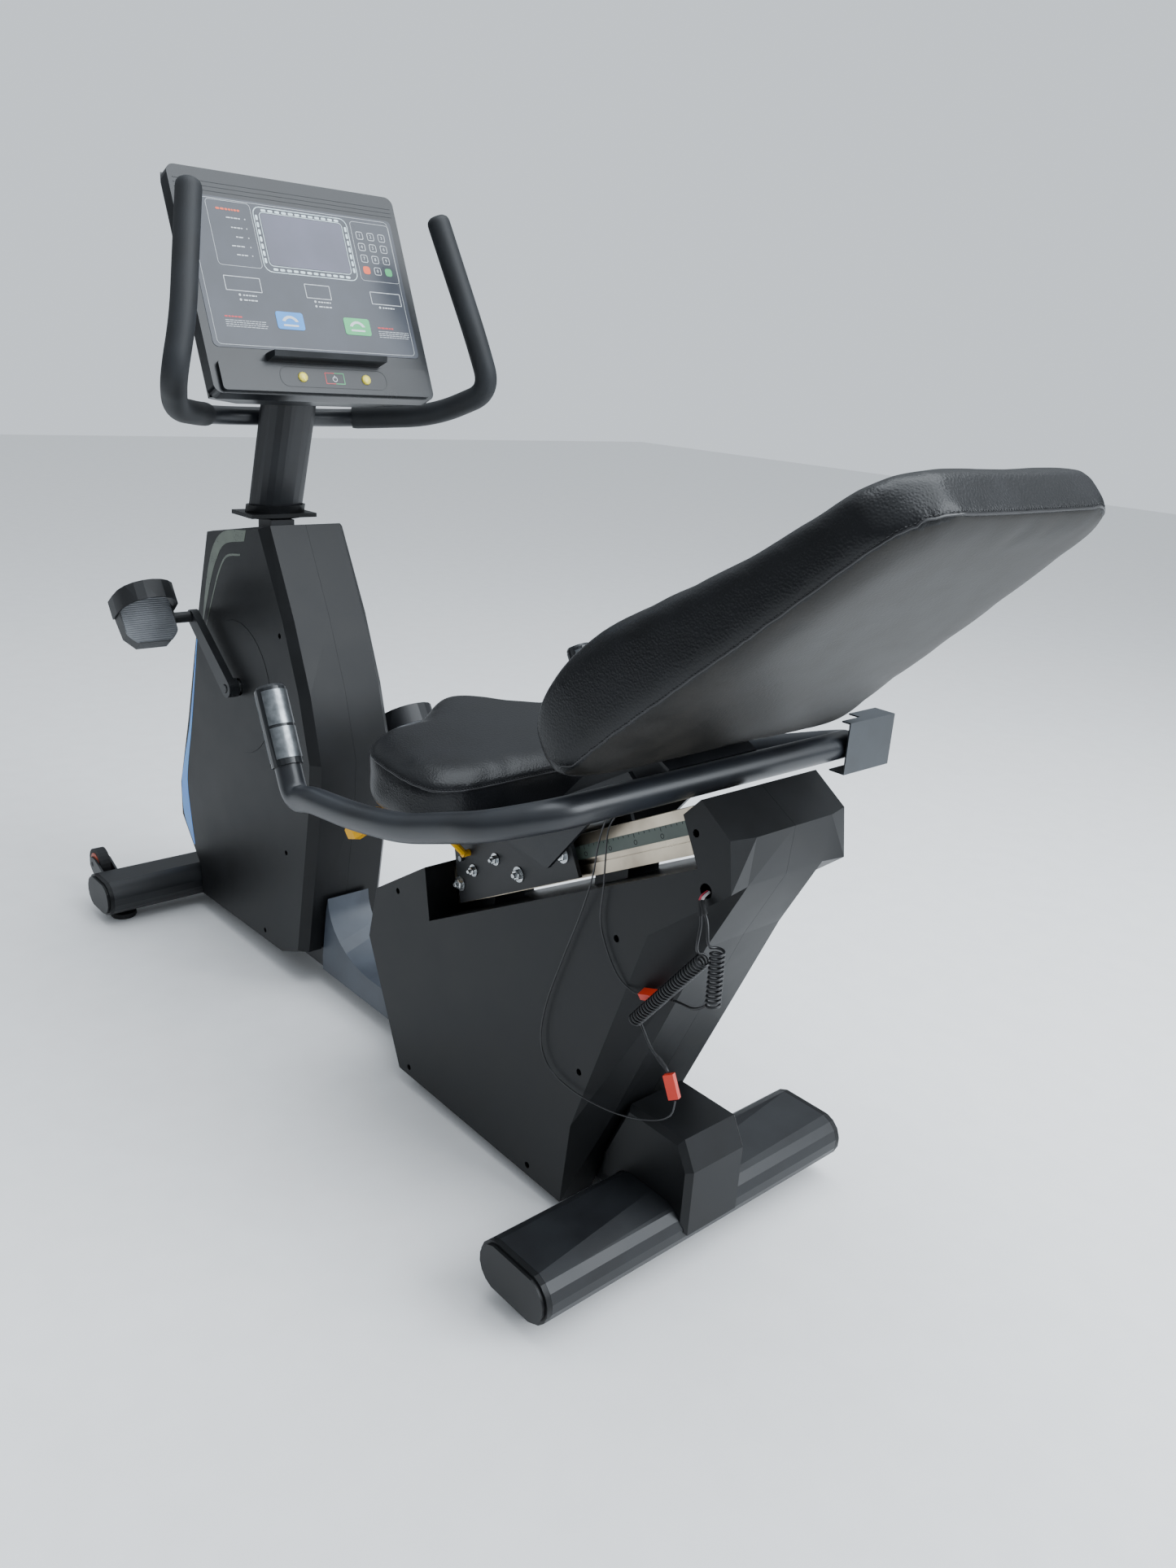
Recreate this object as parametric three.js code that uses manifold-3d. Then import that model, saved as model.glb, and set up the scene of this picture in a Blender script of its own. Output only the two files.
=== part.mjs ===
// Recumbent exercise bike: a welded frame on two stabilisers, a sliding reclined seat with side
// handles, a crank with pedals that drives a flywheel by belt, and a tilted console on a mast.
// Millimetres. +X points forward to the console, +Y to the rider's left, +Z up.
import * as THREE from 'three';
import { mergeVertices } from 'three/addons/utils/BufferGeometryUtils.js';
import Module from 'manifold-3d';

const wasm = await Module();
wasm.setup();

// ---- driving dimensions -------------------------------------------------------------------
const GAP = 0.3;                 // kept between touching pieces
const SHELL = 3;                 // wall of the plastic covers
const WHEELBASE = 1330;          // rear stabiliser axis to front stabiliser axis
const REAR_TUBE = { x: 0, z: 62, wide: 130, tall: 70, half: 268, wall: 2.5 };
const FRONT_TUBE = { x: WHEELBASE, z: 55, wide: 110, tall: 70, half: 256, wall: 2.5 };
const CAP_THICK = 12;

const BEAM = { half: 38, low: 36, high: 76 };
const POST_HALF = 28;

const REAR_SHROUD_HALF = 100;
const FRONT_SHROUD_HALF = 80;
const SCREW_HOLE = 5;

const RAIL_ANGLE = 28;           // degrees that the seat rail climbs towards the rear
const RAIL_FOOT = { x: 459, z: 319 };
const RAIL = { half: 45, tall: 56, front: -50, rear: 596 };
const CARRIAGE = { front: 44, rear: 332, inner: 54, thick: 6, low: 2, high: 85 };

const CRANK = { x: 1080, z: 515, length: 170, angle: 37.6, inner: 86, outer: 106 };
const AXLE_RADIUS = 12;
const SPINDLE_RADIUS = 8;
const DISC_RADIUS = 120;
const PULLEY = { radius: 108, low: 45, high: 57 };
const FLYWHEEL = { x: 1215, z: 250, radius: 98, half: 24, shaft: 8, pulley: 26 };
const BELT_THICK = 2.4;
const PEDAL = { wide: 100, long: 96, thick: 26, centre: 188, lean: 35, pin: 6 };
const STRAP = { wide: 34, rise: 60, thick: 2.6 };

const MAST = { wide: 100, deep: 52, lean: 16.7, foot: 812, top: 1096, x: 1088 };
const CONSOLE = { x: 959, z: 1186.5, wide: 394, tall: 348, tilt: 24.3, thick: 24 };
const PANEL = { wide: 366, low: -103, high: 132, thick: 3 };

const HANDLE_RADIUS = 18;
const FOAM_WALL = 3.5;
const BAR_RADIUS = 15;
const GRIP_LENGTH = 112;

const BACK_ANGLE = 42.8;         // degrees of the backrest's board above the horizontal
const BACK_FOOT = { x: -13, z: 700 };
const SEAT = { bottom: 515, seam: 590, slope: 0.1, datum: 300 };

const WHEEL = { x: WHEELBASE + 82, y: 230, z: 86, radius: 31, half: 10, axle: 5 };

// ---- solids -------------------------------------------------------------------------------
function toSolid(geometry) {
  const bare = geometry.clone();
  bare.deleteAttribute('normal');
  bare.deleteAttribute('uv');
  const merged = mergeVertices(bare, 1e-3);
  const mesh = new wasm.Mesh({
    numProp: 3,
    vertProperties: new Float32Array(merged.attributes.position.array),
    triVerts: new Uint32Array(merged.index.array),
  });
  return new wasm.Manifold(mesh);
}

function toGeometry(solid) {
  const mesh = solid.getMesh();
  const geometry = new THREE.BufferGeometry();
  geometry.setAttribute('position', new THREE.BufferAttribute(mesh.vertProperties, 3));
  geometry.setIndex(new THREE.BufferAttribute(mesh.triVerts, 1));
  geometry.computeVertexNormals();
  return geometry;
}

function join(...geometries) {
  return toGeometry(geometries.map(toSolid).reduce((sum, next) => sum.add(next)));
}

function cut(geometry, ...tools) {
  return toGeometry(tools.map(toSolid).reduce((rest, tool) => rest.subtract(tool), toSolid(geometry)));
}

// ---- shapes -------------------------------------------------------------------------------
const v3 = (x, y, z) => new THREE.Vector3(x, y, z);

function shapeOf(points) {
  return new THREE.Shape(points.map(([x, y]) => new THREE.Vector2(x, y)));
}

// An outline in X and Z, swept along Y from low to high.
function prismY(points, low, high) {
  const geometry = new THREE.ExtrudeGeometry(shapeOf(points), { depth: high - low, bevelEnabled: false });
  geometry.applyMatrix4(new THREE.Matrix4().makeBasis(v3(1, 0, 0), v3(0, 0, 1), v3(0, -1, 0)));
  return geometry.translate(0, high, 0);
}

// An outline in X and Y, swept up from low to high.
function prismZ(points, low, high) {
  const geometry = new THREE.ExtrudeGeometry(shapeOf(points), { depth: high - low, bevelEnabled: false });
  return geometry.translate(0, 0, low);
}

function box(x0, x1, y0, y1, z0, z1) {
  const geometry = new THREE.BoxGeometry(x1 - x0, y1 - y0, z1 - z0);
  return geometry.translate((x0 + x1) / 2, (y0 + y1) / 2, (z0 + z1) / 2);
}

// Radius of a many-sided hole in which a round rod turns freely.
function turningHole(radius, sides) {
  return (radius + GAP) / Math.cos(Math.PI / sides);
}

function rodY(x, z, radius, low, high, sides = 20) {
  const geometry = new THREE.CylinderGeometry(radius, radius, high - low, sides);
  return geometry.translate(x, (low + high) / 2, z);
}

// A closed skin over rings of equally many points, first ring to last.
function loft(rings) {
  const count = rings[0].length;
  const positions = rings.flat().flatMap((p) => [p.x, p.y, p.z]);
  const index = [];
  for (let r = 0; r + 1 < rings.length; r += 1) {
    for (let i = 0; i < count; i += 1) {
      const j = (i + 1) % count;
      const a = r * count + i;
      const b = r * count + j;
      index.push(a, b, b + count, a, b + count, a + count);
    }
  }
  const cap = (ring, base, flip) => {
    const normal = v3(0, 0, 0);
    ring.forEach((p, i) => normal.add(v3().crossVectors(p, ring[(i + 1) % count])));
    const u = v3().subVectors(ring[1], ring[0]).normalize();
    const v = v3().crossVectors(normal.normalize(), u);
    const flat = ring.map((p) => new THREE.Vector2(p.dot(u), p.dot(v)));
    THREE.ShapeUtils.triangulateShape(flat, []).forEach(([a, b, c]) => {
      index.push(...(flip ? [base + a, base + c, base + b] : [base + a, base + b, base + c]));
    });
  };
  cap(rings[0], 0, true);
  cap(rings[rings.length - 1], (rings.length - 1) * count, false);
  const geometry = new THREE.BufferGeometry();
  geometry.setAttribute('position', new THREE.Float32BufferAttribute(positions, 3));
  geometry.setIndex(index);
  return outward(geometry);
}

// Turns every face of a closed geometry over when its volume comes out negative.
function outward(geometry) {
  const p = geometry.attributes.position;
  const index = geometry.index.array;
  const corner = (k) => v3().fromBufferAttribute(p, index[k]);
  let volume = 0;
  for (let k = 0; k < index.length; k += 3) {
    volume += corner(k).dot(v3().crossVectors(corner(k + 1), corner(k + 2)));
  }
  if (volume < 0) {
    for (let k = 0; k < index.length; k += 3) {
      [index[k], index[k + 1]] = [index[k + 1], index[k]];
    }
  }
  return geometry;
}

// A path of straight runs whose corners are rounded off.
function bentPath(points, bend) {
  const path = new THREE.CurvePath();
  let start = points[0];
  for (let i = 1; i + 1 < points.length; i += 1) {
    const before = v3().subVectors(points[i - 1], points[i]);
    const after = v3().subVectors(points[i + 1], points[i]);
    const reach = Math.min(bend, before.length() * 0.45, after.length() * 0.45);
    const a = points[i].clone().addScaledVector(before.normalize(), reach);
    const b = points[i].clone().addScaledVector(after.normalize(), reach);
    path.add(new THREE.LineCurve3(start, a));
    path.add(new THREE.QuadraticBezierCurve3(a, points[i], b));
    start = b;
  }
  path.add(new THREE.LineCurve3(start, points[points.length - 1]));
  return path;
}

function circle(radius, sides, turn = 0) {
  return Array.from({ length: sides }, (_, i) => {
    const angle = turn + (i * 2 * Math.PI) / sides;
    return [radius * Math.cos(angle), radius * Math.sin(angle)];
  });
}

function sweep(path, outline, steps) {
  return new THREE.ExtrudeGeometry(shapeOf(outline), { steps, extrudePath: path, bevelEnabled: false });
}

// A flat-sided oval: two half circles joined by straight lines.
function oval(wide, tall, sides = 16) {
  const radius = tall / 2;
  const reach = wide / 2 - radius;
  return circle(radius, sides, Math.PI / sides).map(([x, y]) => [x + Math.sign(x) * reach, y]);
}

function ellipse(wide, deep, sides = 24) {
  return circle(0.5, sides, Math.PI / sides).map(([x, y]) => [x * deep, y * wide]);
}

function shifted(points, dx, dz) {
  return points.map(([x, z]) => [x + dx, z + dz]);
}

// An outline moved inwards by a wall, every edge by the same distance.
function inset(points, wall) {
  const area = THREE.ShapeUtils.area(points.map(([x, y]) => new THREE.Vector2(x, y)));
  const side = Math.sign(area);
  const count = points.length;
  return points.map((p, i) => {
    const q = points[(i + count - 1) % count];
    const r = points[(i + 1) % count];
    const e = new THREE.Vector2(p[0] - q[0], p[1] - q[1]).normalize();
    const f = new THREE.Vector2(r[0] - p[0], r[1] - p[1]).normalize();
    const scale = wall / (1 + e.dot(f));
    return [p[0] - side * (e.y + f.y) * scale, p[1] + side * (e.x + f.x) * scale];
  });
}

// ---- rail frame: u runs up the rail to the rear, n is square to it ---------------------------
const railAngle = THREE.MathUtils.degToRad(RAIL_ANGLE);
const railU = { x: -Math.cos(railAngle), z: Math.sin(railAngle) };
const railN = { x: Math.sin(railAngle), z: Math.cos(railAngle) };
const onRail = (u, n) => [RAIL_FOOT.x + u * railU.x + n * railN.x, RAIL_FOOT.z + u * railU.z + n * railN.z];
const railBlock = (u0, u1, n0, n1, y0, y1) => prismY([onRail(u0, n0), onRail(u1, n0), onRail(u1, n1),
  onRail(u0, n1)], y0, y1);
const railUnder = (x) => RAIL_FOOT.z + (RAIL_FOOT.x - x) * Math.tan(railAngle);

// ---- the model ------------------------------------------------------------------------------
const group = new THREE.Group();
const bike = new THREE.Group();
group.add(bike);

const finish = (color, roughness, metalness) => new THREE.MeshStandardMaterial({ color, roughness,
  metalness });
const PAINT = [0x232528, 0.55, 0.3];
const PLASTIC = [0x1d1f22, 0.6, 0];
const GREY_PLASTIC = [0x3a3f45, 0.55, 0];
const STEEL = [0x9a9da0, 0.35, 1];
const ALLOY = [0xb9b6ae, 0.35, 1];
const VINYL = [0x191a1c, 0.55, 0];
const RUBBER = [0x141414, 0.85, 0];
const FOAM = [0x1b1c1e, 0.9, 0];
const YELLOW = [0xe8c21a, 0.45, 0];
const RED = [0xd8301c, 0.5, 0];

function add(name, geometry, colour, parent = bike) {
  const mesh = new THREE.Mesh(geometry, finish(...colour));
  mesh.name = name;
  parent.add(mesh);
  return mesh;
}

// Stabilisers, their end caps and levelling feet.
function tubeBore({ x, z, wide, tall, half, wall }) {
  return prismY(shifted(oval(wide - 2 * wall, tall - 2 * wall), x, z), -half - 1, half + 1);
}

function stabilizerTube(tube, ...brackets) {
  const outer = prismY(shifted(oval(tube.wide, tube.tall), tube.x, tube.z), -tube.half, tube.half);
  return cut(join(outer, ...brackets), tubeBore(tube));
}

function endCap({ x, z, wide, tall, half, wall }, side) {
  const plug = shifted(oval(wide - 2 * wall - 2 * GAP, tall - 2 * wall - 2 * GAP), x, z);
  const near = half + GAP;
  const rim = prismY(shifted(oval(wide, tall), x, z), near, near + CAP_THICK * 0.6);
  const face = prismY(shifted(oval(wide - 8, tall - 8), x, z), near + CAP_THICK * 0.5, near + CAP_THICK);
  const body = join(rim, face, prismY(plug, half - 20, near + 1));
  return side > 0 ? body : mirrorY(body);
}

function mirrorY(geometry) {
  const copy = toGeometry(toSolid(geometry)).applyMatrix4(new THREE.Matrix4().makeScale(1, -1, 1));
  const index = copy.index.array;
  for (let k = 0; k < index.length; k += 3) {
    [index[k], index[k + 1]] = [index[k + 1], index[k]];
  }
  return copy;
}

function foot(x, y, height) {
  const profile = [[0, 0], [23, 0], [25, 3], [24, 10], [9, 13], [9, height - GAP], [0, height - GAP]];
  const geometry = new THREE.LatheGeometry(profile.map(([r, z]) => new THREE.Vector2(r, z)), 16);
  return geometry.rotateX(Math.PI / 2).translate(x, y, 0);
}

function wheelEars(side) {
  const plate = [[FRONT_TUBE.x + 22, FRONT_TUBE.z + 27], [FRONT_TUBE.x + 50, FRONT_TUBE.z + 2],
    [WHEEL.x + 6, WHEEL.z - 14], [WHEEL.x + 14, WHEEL.z - 6], [WHEEL.x + 14, WHEEL.z + 6],
    [WHEEL.x + 6, WHEEL.z + 14], [WHEEL.x - 14, WHEEL.z + 14]];
  return [-1, 1].map((edge) => {
    const y = side * WHEEL.y + edge * (WHEEL.half + 4);
    return cut(prismY(plate, y - 2, y + 2), rodY(WHEEL.x, WHEEL.z, WHEEL.axle + GAP, y - 3, y + 3, 12));
  });
}

function transportWheel(side) {
  const y = side * WHEEL.y;
  const tyre = rodY(WHEEL.x, WHEEL.z, WHEEL.radius, y - WHEEL.half, y + WHEEL.half, 24);
  return join(tyre, rodY(WHEEL.x, WHEEL.z, WHEEL.axle, y - WHEEL.half - 6, y + WHEEL.half + 6, 12));
}

add('rear_stabilizer', stabilizerTube(REAR_TUBE), PAINT);
add('front_stabilizer', stabilizerTube(FRONT_TUBE, ...wheelEars(1), ...wheelEars(-1)), PAINT);
for (const [end, tube] of [['rear', REAR_TUBE], ['front', FRONT_TUBE]]) {
  for (const [name, side] of [['left', 1], ['right', -1]]) {
    add(`end_cap_${end}_${name}`, endCap(tube, side), PLASTIC);
    add(`foot_${end}_${name}`, foot(tube.x, side * (tube.half - 36), tube.z - tube.tall / 2), RUBBER);
  }
}
add('transport_wheel_left', transportWheel(1), RUBBER);
add('transport_wheel_right', transportWheel(-1), RUBBER);

// The welded frame: beam, saddles onto the stabilisers, rail posts, mast post and bearings.
function mainFrame() {
  const saddle = (tube) => prismY(shifted(oval(tube.wide + 2 * GAP, tube.tall + 2 * GAP), tube.x,
    tube.z), -60, 60);
  const wall = 3;
  const hollow = box(0, WHEELBASE, wall - BEAM.half, BEAM.half - wall, BEAM.low + wall, BEAM.high - wall);
  const rearTop = REAR_TUBE.z + REAR_TUBE.tall / 2;
  const rearHook = [[-46, rearTop], [-46, 122], [70, 122], [130, BEAM.high], [130, BEAM.low], [60,
    BEAM.low],
    [60, rearTop]];
  const foot = BEAM.high - 2;
  const post = (x0, x1) => prismY([[x0, foot], [x1, foot], [x1, railUnder(x1) - GAP], [x0,
    railUnder(x0) - GAP]],
    -POST_HALF, POST_HALF);
  const mastPost = box(1056, 1104, -22, 22, foot, MAST.foot - GAP);
  const housing = rodY(CRANK.x, CRANK.z, 30, -40, 40, 24);
  const bracket = (y) => prismY([[1060, 200], [1060, 320], [1180, 270], [1236, 264], [1236, 236], [1180,
    230]],
    y - 2, y + 2);
  const brackets = [bracket(-FLYWHEEL.half - 8), bracket(FLYWHEEL.half + 8)];
  const tie = box(1060, 1102, -FLYWHEEL.half - 10, FLYWHEEL.half + 10, 205, 315);
  const beam = box(100, FRONT_TUBE.x - 30, -BEAM.half, BEAM.half, BEAM.low, BEAM.high);
  const solid = join(cut(beam, hollow), prismY(rearHook, -BEAM.half, BEAM.half), post(380, 440),
    post(110, 170),
    mastPost, housing, ...brackets, tie);
  return cut(solid, saddle(REAR_TUBE), saddle(FRONT_TUBE),
    rodY(CRANK.x, CRANK.z, turningHole(AXLE_RADIUS, 24), -50, 50, 24),
    rodY(FLYWHEEL.x, FLYWHEEL.z, turningHole(FLYWHEEL.shaft, 16), -50, 50, 16));
}
add('main_frame', mainFrame(), PAINT);

// Rear shroud: two half shells. The side outline starts further forward at the rear than the centre.
const REAR_SIDE = [[515, 26], [550, 101], [607, 222], [587, 312], onRail(37, 66), onRail(12, -12.4),
  onRail(592, -12.4), onRail(592, 50), onRail(625, 61), onRail(652, 10), onRail(632, -48), [-3, 476],
    [107, 148],
  [118, 19]];
const REAR_CENTRE = REAR_SIDE.map(([x, z], i) => {
  const bulge = [0, 0, 0, 0, 0, 0, 0, 0, 0, 8, -6, 62, 32, 0][i];
  return [x - bulge, z];
});

function ringAt(points, y) {
  return points.map(([x, z]) => v3(x, y, z));
}

function shell(centre, side, half, shoulder, wall) {
  const outer = loft([ringAt(centre, GAP / 2), ringAt(centre, shoulder), ringAt(side, half)]);
  const innerCentre = inset(centre, wall);
  const inner = loft([ringAt(innerCentre, -5), ringAt(innerCentre, shoulder - wall * 0.5),
    ringAt(inset(side, wall), half - wall)]);
  return cut(outer, inner);
}

const REAR_SHOULDER = 66;
const REAR_HOLES = [[527, 330], [49, 450], [98, 236], [488, 40], [190, 36], [-62, 626]];
const WIRE_EXIT = [-85, 565];

function rearShroud(side) {
  const half = shell(REAR_CENTRE, REAR_SIDE, REAR_SHROUD_HALF, REAR_SHOULDER, SHELL);
  const clear = 3;
  const tools = [
    railBlock(RAIL.front - clear, RAIL.rear + clear, -GAP * 4, RAIL.tall + clear, -5, RAIL.half + clear),
    box(60, 620, -5, BEAM.half + clear, 0, BEAM.high + clear),
    box(20, 160, -5, BEAM.half + clear, 60, 125),
    box(376, 444, -5, POST_HALF + clear, 290, 380),
    box(106, 174, -5, POST_HALF + clear, 440, 520),
  ];
  REAR_HOLES.forEach(([x, z]) => tools.push(rodY(x, z, SCREW_HOLE, 40, 120, 8)));
  if (side > 0) {
    tools.push(rodY(WIRE_EXIT[0], WIRE_EXIT[1], 9, 50, 120, 12));
  }
  const body = cut(half, ...tools);
  return side > 0 ? body : mirrorY(body);
}
add('rear_shroud_left', rearShroud(1), PLASTIC);
add('rear_shroud_right', rearShroud(-1), PLASTIC);

// Cover over the bracket that stands on the rear stabiliser.
function blockCover() {
  const outline = [[-69, 60], [-69, 156], [-48, 194], [50, 194], [92, 100], [92, 60]];
  const outer = loft([ringAt(inset(outline, 8), -54), ringAt(outline, -46), ringAt(outline, 46),
    ringAt(inset(outline, 8), 54)]);
  const hollow = prismY([[-66, 40], [-66, 155], [-46, 191], [90, 191], [120, 90], [120, 40]],
    -BEAM.half - 6,
    BEAM.half + 6);
  const front = prismY([[49, 204], [49, 194], [91, 100], [91, 40], [200, 40], [200, 204]], -60, 60);
  const tube = prismY(shifted(oval(REAR_TUBE.wide + 2, REAR_TUBE.tall + 2), REAR_TUBE.x, REAR_TUBE.z),
    -60, 60);
  return cut(outer, hollow, front, tube, box(-60, 200, -60, 60, 40, REAR_TUBE.z));
}
add('rear_block_cover', blockCover(), PLASTIC);

// Front shroud: two half shells with chamfered rear edges.
const FRONT_CENTRE = [[977, 815], [899, 669], [848, 554], [813, 439], [817, 358], [862, 72], [932, 46],
  [1270, 37],
  [1271, 94], [1350, 183], [1356, 252], [1306, 402], [1242, 624], [1195, 776]];
const FRONT_SIDE = FRONT_CENTRE.map(([x, z], i) => [x + [16, 16, 16, 16, 16, 16, 6, 0, 0, 0, -6, -6, -6,
  -8][i],
  z + (i === 0 ? -7 : 0)]);
const FRONT_SHOULDER = 66;
const FRONT_HOLES = [[925, 640], [915, 250], [1002, 62]];

function frontShroud(side) {
  const half = shell(FRONT_CENTRE, FRONT_SIDE, FRONT_SHROUD_HALF, FRONT_SHOULDER, SHELL);
  const clear = 3;
  const tools = [
    box(840, 1290, -5, BEAM.half + clear, 0, BEAM.high + clear),
    box(MAST.x - 46, MAST.x + 46, -5, MAST.wide / 2 + 6, 740, 860),
    rodY(CRANK.x, CRANK.z, DISC_RADIUS + GAP, 70, 90, 36),
  ];
  FRONT_HOLES.forEach(([x, z]) => tools.push(rodY(x, z, SCREW_HOLE, 40, 120, 8)));
  const body = cut(half, ...tools);
  return side > 0 ? body : mirrorY(body);
}
add('front_shroud_left', frontShroud(1), PLASTIC);
add('front_shroud_right', frontShroud(-1), PLASTIC);

function crankDisc(side) {
  const body = cut(rodY(CRANK.x, CRANK.z, DISC_RADIUS, FRONT_SHROUD_HALF - SHELL,
    FRONT_SHROUD_HALF + 0.5, 36),
    rodY(CRANK.x, CRANK.z, AXLE_RADIUS + 4, 60, 90, 20));
  return side > 0 ? body : mirrorY(body);
}
add('crank_disc_left', crankDisc(1), PLASTIC);
add('crank_disc_right', crankDisc(-1), PLASTIC);

// Scooped cover over the beam between the two shrouds.
function beamCover() {
  const top = [];
  for (let i = 0; i <= 8; i += 1) {
    const t = i / 8;
    top.push([700 + 138 * Math.sin(t * Math.PI * 0.5), 82 + 98 * (1 - Math.cos(t * Math.PI * 0.5))]);
  }
  const outline = [[545, 33], [545, 81], ...top, [845, 150], [857, 60], [857, 33]];
  const hollow = [[540, 20], [540, BEAM.high + GAP], [700, BEAM.high + GAP], [780, 92], [822, 120], [832,
    140],
    [870, 140], [870, 20]];
  return cut(prismY(outline, -BEAM.half - SHELL - GAP, BEAM.half + SHELL + GAP),
    prismY(hollow, -BEAM.half - GAP, BEAM.half + GAP));
}
add('beam_cover', beamCover(), GREY_PLASTIC);

// Mast and the collar around its foot.
const mastLean = THREE.MathUtils.degToRad(MAST.lean);
const mastDir = v3(-Math.sin(mastLean), 0, Math.cos(mastLean));
const mastAt = (z) => v3(MAST.x - (z - MAST.foot) * Math.tan(mastLean), 0, z);

function mastBar(extra, low, high) {
  const rings = [low, high].map((z) => ellipse(MAST.wide + 2 * extra, MAST.deep + 2 * extra, 24)
    .map(([x, y]) => v3(x, y, 0).add(mastAt(z))));
  return loft(rings);
}
add('mast', mastBar(0, MAST.foot, MAST.top), PAINT);

function mastCollar() {
  const low = 816;
  const x = mastAt(low).x;
  const plate = prismZ([[x - 38, -62], [x + 38, -62], [x + 38, 62], [x - 38, 62]], low, low + 7);
  const sleeve = mastBar(5, low + 5, low + 20);
  return cut(join(plate, sleeve), mastBar(GAP, low - 20, low + 40));
}
add('mast_collar', mastCollar(), PLASTIC);

// Console, drawn in its own plane: x to the rider's right, y up the face, z out to the rider.
const tilt = THREE.MathUtils.degToRad(CONSOLE.tilt);
const consoleFrame = new THREE.Group();
consoleFrame.matrixAutoUpdate = false;
consoleFrame.matrix.makeBasis(v3(0, -1, 0), v3(Math.sin(tilt), 0, Math.cos(tilt)),
  v3(-Math.cos(tilt), 0, Math.sin(tilt)));
consoleFrame.matrix.setPosition(CONSOLE.x, 0, CONSOLE.z);
bike.add(consoleFrame);
const intoConsole = consoleFrame.matrix.clone().invert();

function roundedPanel(wide, low, high, corner, z0, z1) {
  const shape = new THREE.Shape();
  const x = wide / 2 - corner;
  shape.absarc(x, high - corner, corner, 0, Math.PI / 2);
  shape.absarc(-x, high - corner, corner, Math.PI / 2, Math.PI);
  shape.absarc(-x, low + corner, corner, Math.PI, 1.5 * Math.PI);
  shape.absarc(x, low + corner, corner, 1.5 * Math.PI, 2 * Math.PI);
  const geometry = new THREE.ExtrudeGeometry(shape, { depth: z1 - z0, bevelEnabled: false,
    curveSegments: 3 });
  return geometry.translate(0, 0, z0);
}

const KEY_RADIUS = 8;
const KEY_SPOTS = [['key_left', -49], ['key_right', 65]];
const STRIP_Y = -147;

function consoleFront() {
  const top = CONSOLE.tall / 2;
  const body = roundedPanel(CONSOLE.wide, -top, top, 14, -CONSOLE.thick, 0);
  const inside = roundedPanel(CONSOLE.wide - 8, -top + 4, top - 4, 10, -CONSOLE.thick - 5, -8);
  const recess = roundedPanel(PANEL.wide + 2 * GAP, PANEL.low - GAP, PANEL.high + GAP, 8, -PANEL.thick, 10);
  const strip = roundedPanel(CONSOLE.wide - 24, STRIP_Y - 24, STRIP_Y + 22, 6, -1, 7);
  const ledge = prismAcross([[-109, -4], [-121, -4], [-123, 26], [-115, 30], [-111, 12]], -100, 100);
  const keys = KEY_SPOTS.map(([, x]) => buttonHole(x));
  return cut(join(cut(body, inside, recess), strip, ledge), ...keys);
}

// An outline in the console's y and z, swept across it.
function prismAcross(points, low, high) {
  const geometry = new THREE.ExtrudeGeometry(shapeOf(points), { depth: high - low, bevelEnabled: false });
  geometry.applyMatrix4(new THREE.Matrix4().makeBasis(v3(0, 1, 0), v3(0, 0, 1), v3(1, 0, 0)));
  return geometry.translate(low, 0, 0);
}

function buttonHole(x) {
  return new THREE.CylinderGeometry(KEY_RADIUS + GAP, KEY_RADIUS + GAP, 60, 12).rotateX(Math.PI / 2)
    .translate(x, STRIP_Y, 0);
}

function consoleBack() {
  const z = -CONSOLE.thick - GAP;
  const ring = (grow, depth, low, high, wide) => [[wide, high], [-wide, high], [-wide, low], [wide, low]]
    .map(([x, y]) => v3(x + Math.sign(x) * grow, y + (y === high ? grow : -grow), depth));
  const outer = loft([ring(0, z, -172, 172, 195), ring(0, z - 16, -168, 165, 190), ring(0, z - 66, -155,
    5, 120)]);
  const inner = loft([ring(-SHELL, z + 1, -172, 172, 195), ring(-SHELL, z - 14, -168, 165, 190),
    ring(-SHELL, z - 66 + SHELL, -155, 5, 120)]);
  const mast = mastBar(0.6, MAST.foot, MAST.top + 60).applyMatrix4(intoConsole);
  return cut(outer, inner, mast);
}

function displayPanel() {
  return roundedPanel(PANEL.wide, PANEL.low, PANEL.high, 8, -PANEL.thick + GAP, 0.6);
}

function dome(x) {
  const base = [[0, -5], [KEY_RADIUS, -5], [KEY_RADIUS, 8]];
  const crown = [1, 2, 3].map((i) => [KEY_RADIUS * Math.cos((i * Math.PI) / 8),
    8 + 4 * Math.sin((i * Math.PI) / 8)]);
  const profile = [...base, ...crown, [0, 12]].map(([r, y]) => new THREE.Vector2(r, y));
  return new THREE.LatheGeometry(profile, 12).rotateX(Math.PI / 2).translate(x, STRIP_Y, 0);
}

add('console_front', consoleFront(), PLASTIC, consoleFrame);
add('console_back', consoleBack(), PLASTIC, consoleFrame);
add('display_panel', displayPanel(), [0x4b4e5a, 0.4, 0], consoleFrame);
KEY_SPOTS.forEach(([name, x]) => add(name, dome(x), YELLOW, consoleFrame));

// Front handlebar: a steel core clamped on the mast, with a foam sleeve on each arm.
const BAR_Z = 984;
const FOAM_END = 5;
const BAR_STEPS = 40;
const barX = mastAt(BAR_Z).x + MAST.deep / 2 + BAR_RADIUS + 1;
const BAR_ARM = [v3(916, 212, 1314), v3(856, 256, 1130), v3(842, 280, 1048), v3(944, 236, 1000),
  v3(barX - 10, 130, BAR_Z)];

function mirrored(points) {
  return points.map((p) => v3(p.x, -p.y, p.z)).reverse();
}

function barPath(shorten) {
  const tip = BAR_ARM[0].clone();
  tip.addScaledVector(v3().subVectors(BAR_ARM[1], BAR_ARM[0]).normalize(), shorten);
  const arm = [tip, ...BAR_ARM.slice(1)];
  return bentPath([...arm, ...mirrored(arm)], 60);
}

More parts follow.
